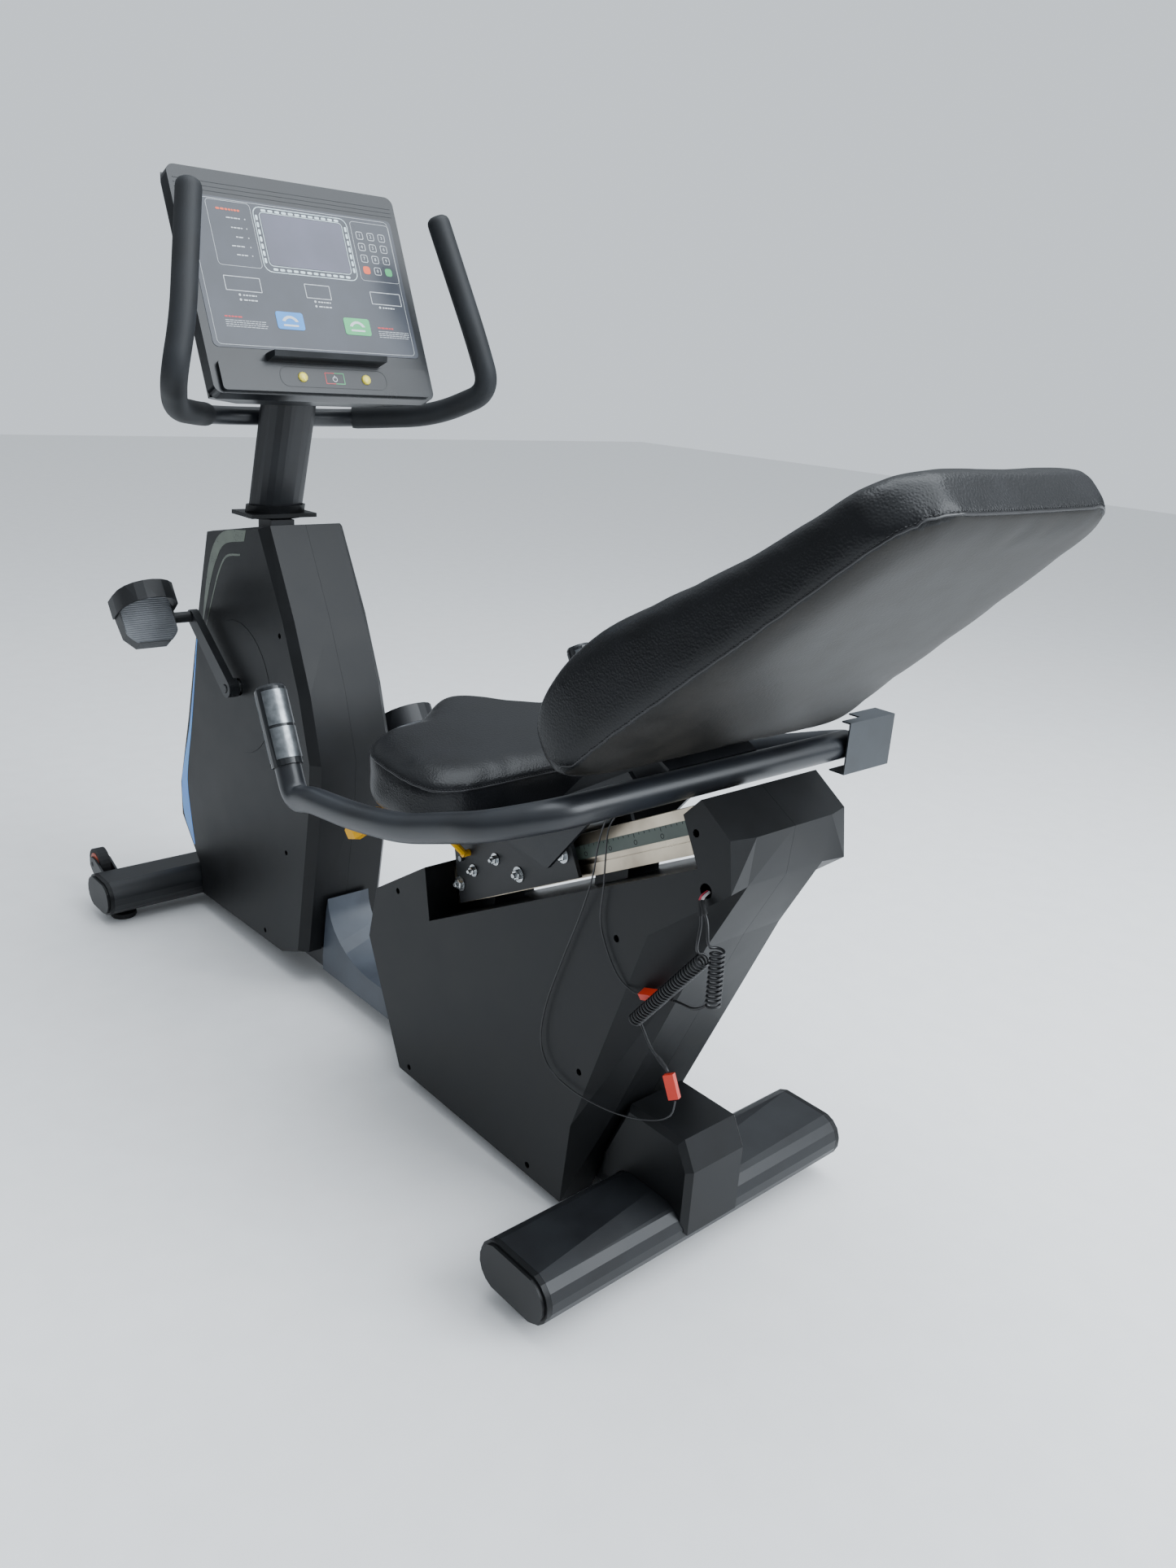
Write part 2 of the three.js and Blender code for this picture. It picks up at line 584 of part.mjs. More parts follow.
function handlebar() {
  const bar = sweep(barPath(FOAM_END), circle(BAR_RADIUS, 8), BAR_STEPS);
  const clamp = box(barX - 20, barX - 2, -24, 24, BAR_Z - 20, BAR_Z + 20);
  return cut(join(bar, clamp), mastBar(GAP, MAST.foot, MAST.top));
}

function foamSleeve(side) {
  const whole = barPath(0);
  const reach = 0.4;
  const points = Array.from({ length: 19 }, (_, i) => whole.getPointAt((reach * i) / 18));
  const path = new THREE.CatmullRomCurve3(points.reverse());
  const skin = sweep(path, circle(BAR_RADIUS + GAP + FOAM_WALL, 10), 18);
  const body = cut(skin, sweep(barPath(FOAM_END - GAP), circle(BAR_RADIUS + GAP, 8), BAR_STEPS));
  return side > 0 ? body : mirrorY(body);
}
add('handlebar', handlebar(), PAINT);
add('foam_grip_left', foamSleeve(1), FOAM);
add('foam_grip_right', foamSleeve(-1), FOAM);

// Crank axle with its belt pulley, crank arms, pedals and straps.
function crankAxle() {
  const axle = rodY(CRANK.x, CRANK.z, AXLE_RADIUS, -84, 84, 24);
  const ends = rodY(CRANK.x, CRANK.z, SPINDLE_RADIUS, -CRANK.outer + 3, CRANK.outer - 3, 16);
  const pulley = rodY(CRANK.x, CRANK.z, PULLEY.radius, PULLEY.low, PULLEY.high, 32);
  return join(axle, ends, pulley);
}
add('crank_axle', crankAxle(), STEEL);

function crankArm() {
  const hub = 17;
  const eye = 13;
  const arm = [];
  for (let i = 0; i <= 8; i += 1) {
    const a = Math.PI / 2 + (i * Math.PI) / 8;
    arm.push([hub * Math.cos(a), hub * Math.sin(a)]);
  }
  for (let i = 0; i <= 8; i += 1) {
    const a = -Math.PI / 2 + (i * Math.PI) / 8;
    arm.push([CRANK.length + eye * Math.cos(a), eye * Math.sin(a)]);
  }
  const body = prismY(arm, CRANK.outer - 14, CRANK.outer);
  const boss = rodY(0, 0, hub, CRANK.inner, CRANK.outer - 7, 24);
  return cut(join(body, boss), rodY(0, 0, SPINDLE_RADIUS + GAP, 60, 120, 16),
    rodY(CRANK.length, 0, turningHole(PEDAL.pin, 16), 60, 120, 16));
}

// A pedal about its own spindle: x along the foot, z out of the tread.
function pedalBody() {
  const half = PEDAL.wide / 2;
  const toe = PEDAL.long / 2;
  const outline = [[-toe, -half + 22], [-toe + 20, -half + 4], [toe - 30, -half], [toe - 6, -half + 16],
    [toe, 0],
    [toe - 6, half - 16], [toe - 30, half], [-toe + 20, half - 4], [-toe, half - 22]];
  const body = prismZ(shifted(outline, 0, PEDAL.centre), -PEDAL.thick / 2, PEDAL.thick / 2);
  const pin = rodY(0, 0, PEDAL.pin, CRANK.outer - 13, PEDAL.centre, 16);
  const collar = rodY(0, 0, PEDAL.pin + 4, CRANK.outer + 1.5, PEDAL.centre - half + 6, 16);
  return join(body, pin, collar);
}

function pedalStrap() {
  const half = PEDAL.wide / 2 + GAP;
  const arch = (extra) => {
    const points = [[half + extra, -PEDAL.thick / 2]];
    for (let i = 0; i <= 10; i += 1) {
      const a = (i * Math.PI) / 10;
      const rise = PEDAL.thick / 2 + (STRAP.rise + extra) * Math.sin(a) ** 0.8;
      points.push([(half + extra) * Math.cos(a), rise]);
    }
    points.push([-half - extra, -PEDAL.thick / 2]);
    return points;
  };
  const outline = [...arch(STRAP.thick), ...arch(0).reverse()];
  const geometry = new THREE.ExtrudeGeometry(shapeOf(outline), { depth: STRAP.wide, bevelEnabled: false });
  geometry.applyMatrix4(new THREE.Matrix4().makeBasis(v3(0, 1, 0), v3(0, 0, 1), v3(1, 0, 0)));
  return geometry.translate(PEDAL.pin + 6, PEDAL.centre, 0);
}

const crankTurn = THREE.MathUtils.degToRad(CRANK.angle);
const pedalTurn = THREE.MathUtils.degToRad(90 - PEDAL.lean);

function placedPedal(geometry, side) {
  const turned = geometry.clone().rotateY(-pedalTurn);
  const facing = side > 0 ? turned : mirrorY(turned);
  return facing.translate(CRANK.x + side * CRANK.length * Math.cos(crankTurn), 0,
    CRANK.z + side * CRANK.length * Math.sin(crankTurn));
}

for (const [name, side] of [['left', 1], ['right', -1]]) {
  const arm = crankArm().rotateY(-crankTurn);
  const other = mirrorY(crankArm().rotateY(Math.PI - crankTurn));
  add(`crank_${name}`, (side > 0 ? arm : other).translate(CRANK.x, 0, CRANK.z), PAINT);
  add(`pedal_${name}`, placedPedal(pedalBody(), side), GREY_PLASTIC);
  add(`pedal_strap_${name}`, placedPedal(pedalStrap(), side), RUBBER);
}

// Flywheel on its shaft with the small pulley, and the belt around both pulleys.
function flywheel() {
  const { x, z, radius, half, shaft, pulley } = FLYWHEEL;
  return join(rodY(x, z, radius, -half, half, 32), rodY(x, z, shaft, -half - 14, PULLEY.high, 16),
    rodY(x, z, pulley, PULLEY.low, PULLEY.high, 24));
}
add('flywheel', flywheel(), [0x55585c, 0.45, 1]);

function beltOutline(extra) {
  const big = PULLEY.radius + extra;
  const small = FLYWHEEL.pulley + extra;
  const dx = FLYWHEEL.x - CRANK.x;
  const dz = FLYWHEEL.z - CRANK.z;
  const line = Math.atan2(dz, dx);
  const lean = Math.acos((big - small) / Math.hypot(dx, dz));
  const points = [];
  for (let i = 0; i <= 24; i += 1) {
    const a = line + lean + (i / 24) * (2 * Math.PI - 2 * lean);
    points.push([CRANK.x + big * Math.cos(a), CRANK.z + big * Math.sin(a)]);
  }
  for (let i = 0; i <= 10; i += 1) {
    const a = line - lean + (i / 10) * 2 * lean;
    points.push([FLYWHEEL.x + small * Math.cos(a), FLYWHEEL.z + small * Math.sin(a)]);
  }
  return points;
}
add('drive_belt', cut(prismY(beltOutline(GAP * 4 + BELT_THICK), PULLEY.low + 1, PULLEY.high - 1),
  prismY(beltOutline(GAP * 4), PULLEY.low - 5, PULLEY.high + 5)), RUBBER);

// Seat rail: an extrusion with a groove along each side.
function seatRail() {
  const { half, tall, front, rear } = RAIL;
  const groove = (y0, y1) => railBlock(front - 1, rear + 1, 16, 22, y0, y1);
  return cut(railBlock(front, rear, 0, tall, -half, half), groove(half - 5, half + 5), groove(-half - 5,
    -half + 5));
}
add('seat_rail', seatRail(), ALLOY);

// Everything from here to the cords moves along the rail with the carriage.
const seatBase = (x) => SEAT.bottom + SEAT.slope * (x - SEAT.datum);
const CROSS_TUBE = { x: 0, z: 658 };
const ROLLER = { radius: 9, pin: 4 };
const ROLLERS = [[80, 'roller_front'], [292, 'roller_rear']];
const LEVER = { x: 405, z: 428, pin: 5 };
const rollerAt = (u) => onRail(u, RAIL.tall + ROLLER.radius + GAP);

function rollerHole(u) {
  const [x, z] = rollerAt(u);
  return rodY(x, z, turningHole(ROLLER.pin, 12), -90, 90, 12);
}

function seatCarriage() {
  const { front, rear, inner, thick, low, high } = CARRIAGE;
  const outer = inner + thick;
  const top = RAIL.tall + 20;
  const sidePlate = [onRail(front, low), onRail(rear, low), onRail(rear, high), onRail(front + 22, high)];
  const under = (x) => [x, seatBase(x) - 2.5];
  const seatPlate = [onRail(rear - 2, high - 8), onRail(front + 24, high - 8), [478, 446], under(492),
    under(286)];
  const backPlate = [onRail(rear - 2, high - 8), under(276), [258, 524], [104, 688], [80, 704], [12,
    674], [24, 640]];
  const wing = [[294, 500], [194, 488], [120, 577], [26, 634], [60, 660], [230, 560]];
  const pair = (outline, y0, y1) => [prismY(outline, y0, y1), prismY(outline, -y1, -y0)];
  const bridge = railBlock(front + 24, rear, top, top + 7, -outer, outer);
  const wingTie = railBlock(rear - 90, rear - 20, top, top + 7, -92, 92);
  const panCorners = [[290, -140], [440, -140], [490, -90], [490, 90], [440, 140], [290, 140]];
  const pan = loft([-6, -2].map((dz) => panCorners.map(([x, y]) => v3(x, y, seatBase(x) + dz))));
  const flange = prismY([[10, 675], [80, 706], [82, 702], [12, 671]], -76, 76);
  const solid = join(...pair(sidePlate, inner, outer), ...pair(seatPlate, inner, outer),
    ...pair(backPlate, inner, outer), ...pair(wing, 86, 92), bridge, wingTie, pan, flange);
  return cut(solid, rodY(CROSS_TUBE.x, CROSS_TUBE.z, HANDLE_RADIUS + 2 * GAP, -120, 120, 16),
    ...ROLLERS.map(([u]) => rollerHole(u)), rodY(LEVER.x, LEVER.z, LEVER.pin + GAP, -80, 80, 12));
}

function roller(u) {
  const [x, z] = rollerAt(u);
  const half = CARRIAGE.inner - 2;
  return join(rodY(x, z, ROLLER.radius, -half, half, 20), rodY(x, z, ROLLER.pin, -half - 14, half + 14,
    12));
}

add('seat_carriage', seatCarriage(), PAINT);
ROLLERS.forEach(([u, name]) => add(name, roller(u), STEEL));

// Release lever: a pin through the carriage, an arm on the left and a yellow paddle.
function seatLever() {
  const outer = CARRIAGE.inner + CARRIAGE.thick;
  const { x, z, pin } = LEVER;
  const shaft = rodY(x, z, pin, -outer - 3, outer + 12, 12);
  const bends = [v3(x, outer + 8, z), v3(x + 7, 118, z + 56), v3(x + 29, 166, z + 81), v3(x + 47, 192,
    z + 71)];
  const route = bentPath(bends, 24);
  const arm = sweep(route, circle(5, 8), 18);
  const start = v3(x + 39, 184, z + 75);
  const along = v3(40, 30, -42).normalize();
  const across = v3(0.72, 0, 0.69);
  const face = v3().crossVectors(along, across).normalize();
  const paddle = loft([[0, 8, 5], [10, 14, 7], [52, 14, 6], [64, 7, 3]].map(([d, w, t]) => (
    [[w, t], [-w, t], [-w, -t], [w, -t]].map(([a, b]) => start.clone().addScaledVector(along, d)
      .addScaledVector(across, a).addScaledVector(face, b)))));
  return join(shaft, arm, paddle);
}
add('seat_lever', seatLever(), YELLOW);

// One bent tube carries the backrest's foot and both side handles.
const HANDLE_ARM = [v3(577, 280, 661), v3(498, 285, 523), v3(450, 289, 540), v3(330, 297, 557), v3(210,
  303, 582),
  v3(60, 300, 634), v3(CROSS_TUBE.x, 250, CROSS_TUBE.z), v3(CROSS_TUBE.x, 180, CROSS_TUBE.z)];

function sideHandlePath(shorten) {
  const tip = HANDLE_ARM[0].clone();
  tip.addScaledVector(v3().subVectors(HANDLE_ARM[1], HANDLE_ARM[0]).normalize(), shorten);
  const arm = [tip, ...HANDLE_ARM.slice(1)];
  return bentPath([...arm, ...mirrored(arm)], 40);
}
add('side_handle', sweep(sideHandlePath(4), circle(HANDLE_RADIUS, 10), 56), PAINT);

function pulseGrip(side) {
  const direction = v3().subVectors(HANDLE_ARM[0], HANDLE_ARM[1]).normalize();
  const wall = 3;
  const inner = HANDLE_RADIUS + GAP;
  const profile = [[0, GRIP_LENGTH - 3], [inner, GRIP_LENGTH - 3], [inner, 0], [inner + wall, 0],
    [inner + wall, GRIP_LENGTH - 4], [inner + wall - 3, GRIP_LENGTH], [0, GRIP_LENGTH]];
  const geometry = new THREE.LatheGeometry(profile.map(([r, y]) => new THREE.Vector2(r, y)), 20);
  const turn = new THREE.Quaternion().setFromUnitVectors(v3(0, 1, 0), direction);
  const start = HANDLE_ARM[0].clone().addScaledVector(direction, -GRIP_LENGTH + 0.5);
  geometry.applyQuaternion(turn).translate(start.x, start.y, start.z);
  return side > 0 ? outward(geometry) : mirrorY(outward(geometry));
}
add('pulse_grip_left', pulseGrip(1), PLASTIC);
add('pulse_grip_right', pulseGrip(-1), PLASTIC);

// Seat cushion: a saddle outline, drawn as half and mirrored, under a low crown.
const SEAT_HALF = [[276, 120], [280, 175], [296, 205], [330, 219], [370, 222], [411, 222], [440, 212],
  [464, 190],
  [478, 162], [486, 117], [512, 77], [540, 44], [556, 20]];

function seatCushion() {
  const outline = [...SEAT_HALF, [562, 0], ...SEAT_HALF.slice().reverse().map(([x, y]) => [x, -y])];
  const centre = 400;
  const layer = (share, dz) => outline.map(([x, y]) => v3(centre + (x - centre) * share, y * share,
    SEAT.slope * (x - SEAT.datum) + dz));
  return loft([layer(0.94, SEAT.bottom), layer(0.99, SEAT.bottom + 12), layer(1, SEAT.seam - 10),
    layer(0.985, SEAT.seam), layer(0.86, SEAT.seam + 11), layer(0.5, SEAT.seam + 15)]);
}
add('seat_cushion', seatCushion(), VINYL);

// Backrest cushion: sections across its length, thick at the lumbar end and thin at the top.
const BACK_SECTIONS = [[-48, 232, 34, 56], [-32, 247, 6, 88], [0, 250, 0, 106], [40, 248, 0, 119], [100,
  240, 0, 120],
  [190, 228, 0, 101], [290, 212, 0, 80], [412, 192, 0, 67], [438, 170, 0, 63], [454, 138, 4, 52]];
const backAngle = THREE.MathUtils.degToRad(BACK_ANGLE);
const onBack = (s, y, t) => v3(BACK_FOOT.x - s * Math.cos(backAngle) + t * Math.sin(backAngle), y,
  BACK_FOOT.z + s * Math.sin(backAngle) + t * Math.cos(backAngle));

function backrestCushion() {
  return loft(BACK_SECTIONS.map(([s, half, low, high]) => {
    const round = Math.min(22, (high - low) * 0.4);
    return [[half, low], [half, high - round], [half - round, high], [-half + round, high], [-half,
      high - round],
      [-half, low]].map(([y, t]) => onBack(s, y, t));
  }));
}
add('backrest_cushion', backrestCushion(), VINYL);

// Folded steel guard behind the right bend of the tube, open to the left and to the front.
function tubeGuard() {
  const [rear, left, right, bottom, top] = [-24, -216, -312, 626, 696];
  const sheet = 2;
  const wall = box(rear, rear + sheet, right, left, bottom, top);
  const roof = box(rear, -10, right, left, top - sheet, top);
  const roofEnd = box(rear, 8, right, -254, top - sheet, top);
  const floor = box(rear, 0, right, left, bottom, bottom + sheet);
  const end = box(rear, 6, right, right + sheet, bottom, top);
  return join(wall, roof, roofEnd, floor, end);
}
add('tube_guard', tubeGuard(), GREY_PLASTIC);

// ---- cords: thin seat leads, plugs and two curly cords from the exit hole ----------------------
const CORD_Y = 111;
const COIL_RADIUS = 9.5;
const LEAD_RADIUS = 2.6;
const WIRE_RADIUS = 1.5;
const PLUG = { long: 30, wide: 13, deep: 9 };

function cord(points, radius, sides, steps) {
  const path = new THREE.CatmullRomCurve3(points.map(([x, y, z]) => v3(x, y, z)));
  return sweep(path, circle(radius, sides), steps);
}

function straight(a, b, radius, sides) {
  return sweep(new THREE.LineCurve3(v3(...a), v3(...b)), circle(radius, sides), 1);
}

function plug(from, to) {
  const a = v3(...from);
  const direction = v3(...to).sub(a).normalize();
  const geometry = new THREE.BoxGeometry(PLUG.wide, PLUG.long, PLUG.deep).translate(0, PLUG.long / 2, 0);
  const turn = new THREE.Quaternion().setFromUnitVectors(v3(0, 1, 0), direction);
  return geometry.applyQuaternion(turn).translate(a.x, a.y, a.z);
}

const COIL_A = [[-102, CORD_Y, 491], [-5, CORD_Y, 367]];
const COIL_B = [[-123, CORD_Y + 3, 512], [-125, CORD_Y + 3, 443]];
const LEAD_A = [[-84, 92, 563], [-85, 106, 556], [-92, 111, 532], [-100, 111, 506], [-103, 111, 494.5]];
const LEAD_B = [[-84, 92, 563], [-87, 107, 557], [-102, 113, 540], [-118, 114, 525], [-123, 114, 513.2]];
const TAIL_A = [[-4, 111, 365.2], [-5, 111, 356], [-17, 110, 348], [-38, 108, 338], [-56, 107, 328],
  [-62.6, 107, 323.4]];
const TAIL_B = [[-125, 114, 441.8], [-124, 111, 432], [-108, 104, 420], [-76, 97, 413], [-46, 95, 409],
  [-28.6, 96, 405.8]];
const PLUG_A = [[-64, 107, 321.4], [-77, 107, 295]];
const PLUG_B = [[-27.4, 96, 405.2], [3, 96, 394.6]];
const SEAT_WIRE_A = [[10, 150, 638], [26, 144, 621], [46, 131, 597], [62, 116, 560], [71, 107, 513], [74,
  105, 467],
  [60, 104, 432], [36, 104, 405], [14, 100, 394], [2.4, 96.4, 394.6]];
const SEAT_WIRE_B = [[18, 157, 638], [36, 148, 612], [60, 132, 574], [82, 116, 524], [108, 107, 462],
  [138, 106, 384],
  [163, 106, 310], [170, 106, 252], [150, 106, 219], [106, 106, 209], [48, 106, 214], [-4, 107, 228],
    [-50, 107, 249],
  [-74, 107, 270], [-78.5, 107, 292.5]];

add('coil_leads', join(cord(LEAD_A, LEAD_RADIUS, 8, 12), cord(LEAD_B, LEAD_RADIUS, 8, 12)), RUBBER);
add('coil_cord_a', straight(...COIL_A, COIL_RADIUS, 12), RUBBER);
add('coil_cord_b', straight(...COIL_B, COIL_RADIUS, 12), RUBBER);
add('coil_tail_a', cord(TAIL_A, LEAD_RADIUS, 8, 12), RUBBER);
add('coil_tail_b', cord(TAIL_B, LEAD_RADIUS, 8, 14), RUBBER);
add('plug_a', plug(...PLUG_A), RED);
add('plug_b', plug(...PLUG_B), RED);
add('seat_wire_a', cord(SEAT_WIRE_A, WIRE_RADIUS, 8, 26), RUBBER);
add('seat_wire_b', cord(SEAT_WIRE_B, WIRE_RADIUS, 8, 44), RUBBER);

// The origin is the middle of the base of everything but the free cords.
const CORDS = ['coil_leads', 'coil_cord_a', 'coil_cord_b', 'coil_tail_a', 'coil_tail_b', 'plug_a', 'plug_b',
  'seat_wire_a', 'seat_wire_b'];
group.updateMatrixWorld(true);
const bounds = new THREE.Box3();
group.traverse((item) => {
  if (item.isMesh && !CORDS.includes(item.name)) {
    bounds.expandByObject(item, true);
  }
});
bike.position.set(-(bounds.min.x + bounds.max.x) / 2, -(bounds.min.y + bounds.max.y) / 2, -bounds.min.z);

export default group;
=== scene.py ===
"""Looks of a recumbent exercise bike: cords, upholstery, console print, trim, fasteners and finishes."""
import math

import bpy
import numpy as np
from mathutils import Matrix, Vector
from mathutils.bvhtree import BVHTree


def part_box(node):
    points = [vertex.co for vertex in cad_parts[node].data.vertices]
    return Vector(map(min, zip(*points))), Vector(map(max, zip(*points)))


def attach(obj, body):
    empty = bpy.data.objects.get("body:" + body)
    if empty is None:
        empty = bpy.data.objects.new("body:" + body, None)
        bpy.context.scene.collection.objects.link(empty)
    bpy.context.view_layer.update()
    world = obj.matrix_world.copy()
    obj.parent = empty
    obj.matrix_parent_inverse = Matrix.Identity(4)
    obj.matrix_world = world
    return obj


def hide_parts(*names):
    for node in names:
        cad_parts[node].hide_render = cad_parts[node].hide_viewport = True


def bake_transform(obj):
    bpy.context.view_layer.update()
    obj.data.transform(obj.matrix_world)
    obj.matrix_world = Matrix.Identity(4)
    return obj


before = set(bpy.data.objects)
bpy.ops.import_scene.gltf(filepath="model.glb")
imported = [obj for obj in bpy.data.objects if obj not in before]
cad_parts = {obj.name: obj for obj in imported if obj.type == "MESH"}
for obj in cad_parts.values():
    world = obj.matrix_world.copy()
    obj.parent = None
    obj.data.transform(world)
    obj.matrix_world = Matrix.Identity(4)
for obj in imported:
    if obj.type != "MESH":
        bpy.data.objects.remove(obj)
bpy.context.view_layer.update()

bl_info = {
    "name": "Recumbent exercise bike",
    "version": (1, 0, 0),
    "blender": (4, 5, 0),
    "location": "3D View > Sidebar > Bike",
    "description": "Builds the visible pieces and finishes of a recumbent exercise bike around its frame",
    "category": "Object",
}

MM = 0.001
REAR_LOW, REAR_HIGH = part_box("rear_stabilizer")
REAR_AXIS_X = (REAR_LOW.x + REAR_HIGH.x) / 2
FULL_TURN = 2 * math.pi


# ---- places -------------------------------------------------------------------------------
def place(points):
    """Points in millimetres from the rear stabiliser's axis and the floor, as metres in the frame."""
    out = np.array(points, float) * MM
    out[..., 0] += REAR_AXIS_X
    return out


class Plane:
    """A flat drawing plane: an origin in the frame and three unit axes x, y and outward z."""

    def __init__(self, origin, x, y, z):
        self.origin = place(origin)
        self.axes = np.array([x, y, z], float)

    def __call__(self, local):
        return self.origin + (np.array(local, float) * MM) @ self.axes


CONSOLE_TILT = math.radians(24.3)
CONSOLE = Plane((959, 0, 1186.5), (0, -1, 0), (math.sin(CONSOLE_TILT), 0, math.cos(CONSOLE_TILT)),
                (-math.cos(CONSOLE_TILT), 0, math.sin(CONSOLE_TILT)))
RAIL_TILT = math.radians(28)
RAIL_UP = (-math.cos(RAIL_TILT), 0, math.sin(RAIL_TILT))
RAIL_OUT = (math.sin(RAIL_TILT), 0, math.cos(RAIL_TILT))
RAIL_LEFT = Plane((459, 0, 319), RAIL_UP, RAIL_OUT, (0, 1, 0))
RAIL_RIGHT = Plane((459, 0, 319), RAIL_UP, RAIL_OUT, (0, -1, 0))
LEFT_FACE = Plane((0, 0, 0), (1, 0, 0), (0, 0, 1), (0, 1, 0))
RIGHT_FACE = Plane((0, 0, 0), (1, 0, 0), (0, 0, 1), (0, -1, 0))


# ---- meshes -------------------------------------------------------------------------------
def surface(p, wrap_u=False, wrap_v=False, caps=False):
    """A grid p[u, v] joined by quads, closed round u or v on request; caps close both ends of u."""
    nu, nv = p.shape[:2]
    index = np.arange(nu * nv).reshape(nu, nv)
    if wrap_u:
        index = np.vstack([index, index[:1]])
    if wrap_v:
        index = np.hstack([index, index[:, :1]])
    quads = np.stack([index[:-1, :-1], index[1:, :-1], index[1:, 1:], index[:-1, 1:]], -1).reshape(-1, 4)
    faces = quads.tolist()
    if caps:
        faces.append(index[0, :nv][::-1].tolist())
        faces.append(index[-1, :nv].tolist())
    return p.reshape(-1, 3), faces


def frames(path):
    """Unit tangent, normal and binormal along a path, each normal carried on from the last with no twist."""
    t = np.gradient(path, axis=0)
    t /= np.linalg.norm(t, axis=1, keepdims=True)
    n = np.zeros_like(t)
    n[0] = np.cross(t[0], np.eye(3)[np.argmin(np.abs(t[0]))])
    n[0] /= np.linalg.norm(n[0])
    for k in range(1, len(t)):
        n[k] = n[k - 1] - (n[k - 1] @ t[k]) * t[k]
        n[k] /= np.linalg.norm(n[k])
    return t, n, np.cross(t, n)


def tube(path, radius, sides=10):
    """A round tube: path + r cos(a) n + r sin(a) b, with r in millimetres, constant or one per point."""
    _, n, b = frames(path)
    a = np.arange(sides) * FULL_TURN / sides
    r = np.broadcast_to(np.asarray(radius, float) * MM, (len(path),))[:, None, None]
    ring = np.cos(a)[None, :, None] * n[:, None] + np.sin(a)[None, :, None] * b[:, None]
    return surface(path[:, None] + r * ring, wrap_v=True, caps=True)


def turned(profile, base, axis, sides=24):
    """A profile of (radius, height) pairs in millimetres spun round an axis through base."""
    axis = np.array(axis, float) / np.linalg.norm(axis)
    u = np.cross(axis, np.eye(3)[np.argmin(np.abs(axis))])
    u /= np.linalg.norm(u)
    v = np.cross(axis, u)
    r, h = np.array(profile, float).T * MM
    a = np.arange(sides) * FULL_TURN / sides
    ring = np.cos(a)[:, None] * u + np.sin(a)[:, None] * v
    grid = base + h[:, None, None] * axis + r[:, None, None] * ring[None]
    return surface(grid, wrap_v=True, caps=True)


def slab(plane, loop, z0, z1):
    """A flat outline in a plane's x and y, given a thickness from z0 to z1 millimetres."""
    loop = np.array(loop, float)
    rows = [np.column_stack([loop, np.full(len(loop), z)]) for z in (z0, z1)]
    return surface(plane(np.array(rows)), wrap_v=True, caps=True)


def band(plane, outer, inner, z0, z1):
    """The strip between two outlines of equally many points, given a thickness."""
    rows = [np.column_stack([np.array(loop, float), np.full(len(loop), z)])
            for loop, z in ((outer, z0), (outer, z1), (inner, z1), (inner, z0))]
    return surface(plane(np.array(rows)), wrap_u=True, wrap_v=True)


def rounded(x0, x1, y0, y1, corner, steps=5):
    """A rectangle's outline with quarter-circle corners."""
    a = np.linspace(0, math.pi / 2, steps)
    quarter = corner * np.column_stack([np.cos(a), np.sin(a)])
    out = []
    for k, (cx, cy) in enumerate([(x1, y1), (x0, y1), (x0, y0), (x1, y0)]):
        s, c = round(math.sin(k * math.pi / 2)), round(math.cos(k * math.pi / 2))
        spun = quarter @ np.array([[c, s], [-s, c]])
        centre = np.array([cx - math.copysign(corner, cx - (x0 + x1) / 2), cy - math.copysign(corner, cy - (y0 + y1) / 2)])
        out.append(centre + spun)
    return np.vstack(out)


def frame_line(plane, x0, x1, y0, y1, corner, line, z0, z1):
    """A drawn rounded rectangle: the band between its outline and the same one moved in by the line's width."""
    return band(plane, rounded(x0, x1, y0, y1, corner),
                rounded(x0 + line, x1 - line, y0 + line, y1 - line, max(corner - line, 0.2)), z0, z1)


def disc(cx, cy, radius, sides=14):
    a = np.arange(sides) * FULL_TURN / sides
    return np.column_stack([cx + radius * np.cos(a), cy + radius * np.sin(a)])


def smooth_line(points, count, closed=False):
    """A Catmull-Rom curve through the points, in count even steps of its parameter."""
    p = np.array(points, float)
    n = len(p)
    if closed:
        ext = np.vstack([p[-1:], p, p[:2]])
        spans = n
    else:
        ext = np.vstack([2 * p[:1] - p[1:2], p, 2 * p[-1:] - p[-2:-1]])
        spans = n - 1
    s = np.linspace(0, spans, count, endpoint=not closed)
    k = np.minimum(s.astype(int), spans - 1)
    f = (s - k)[:, None]
    a, b, c, d = ext[k], ext[k + 1], ext[k + 2], ext[np.minimum(k + 3, len(ext) - 1)]
    return 0.5 * (2 * b + (c - a) * f + (2 * a - 5 * b + 4 * c - d) * f ** 2 + (3 * b - a - 3 * c + d) * f ** 3)


def even(path, count):
    """The same path with its points spaced evenly along it."""
    step = np.linalg.norm(np.diff(path, axis=0), axis=1)
    s = np.concatenate([[0], np.cumsum(step)])
    return np.column_stack([np.interp(np.linspace(0, s[-1], count), s, path[:, k]) for k in range(3)])


def stretch(path, low, high, count=14):
    """The part of a path between two distances in millimetres from its start."""
    s = np.concatenate([[0], np.cumsum(np.linalg.norm(np.diff(path, axis=0), axis=1))])
    return np.column_stack([np.interp(np.linspace(low, high, count) * MM, s, path[:, k]) for k in range(3)])


def length_of(path):
    return float(np.linalg.norm(np.diff(path, axis=0), axis=1).sum())


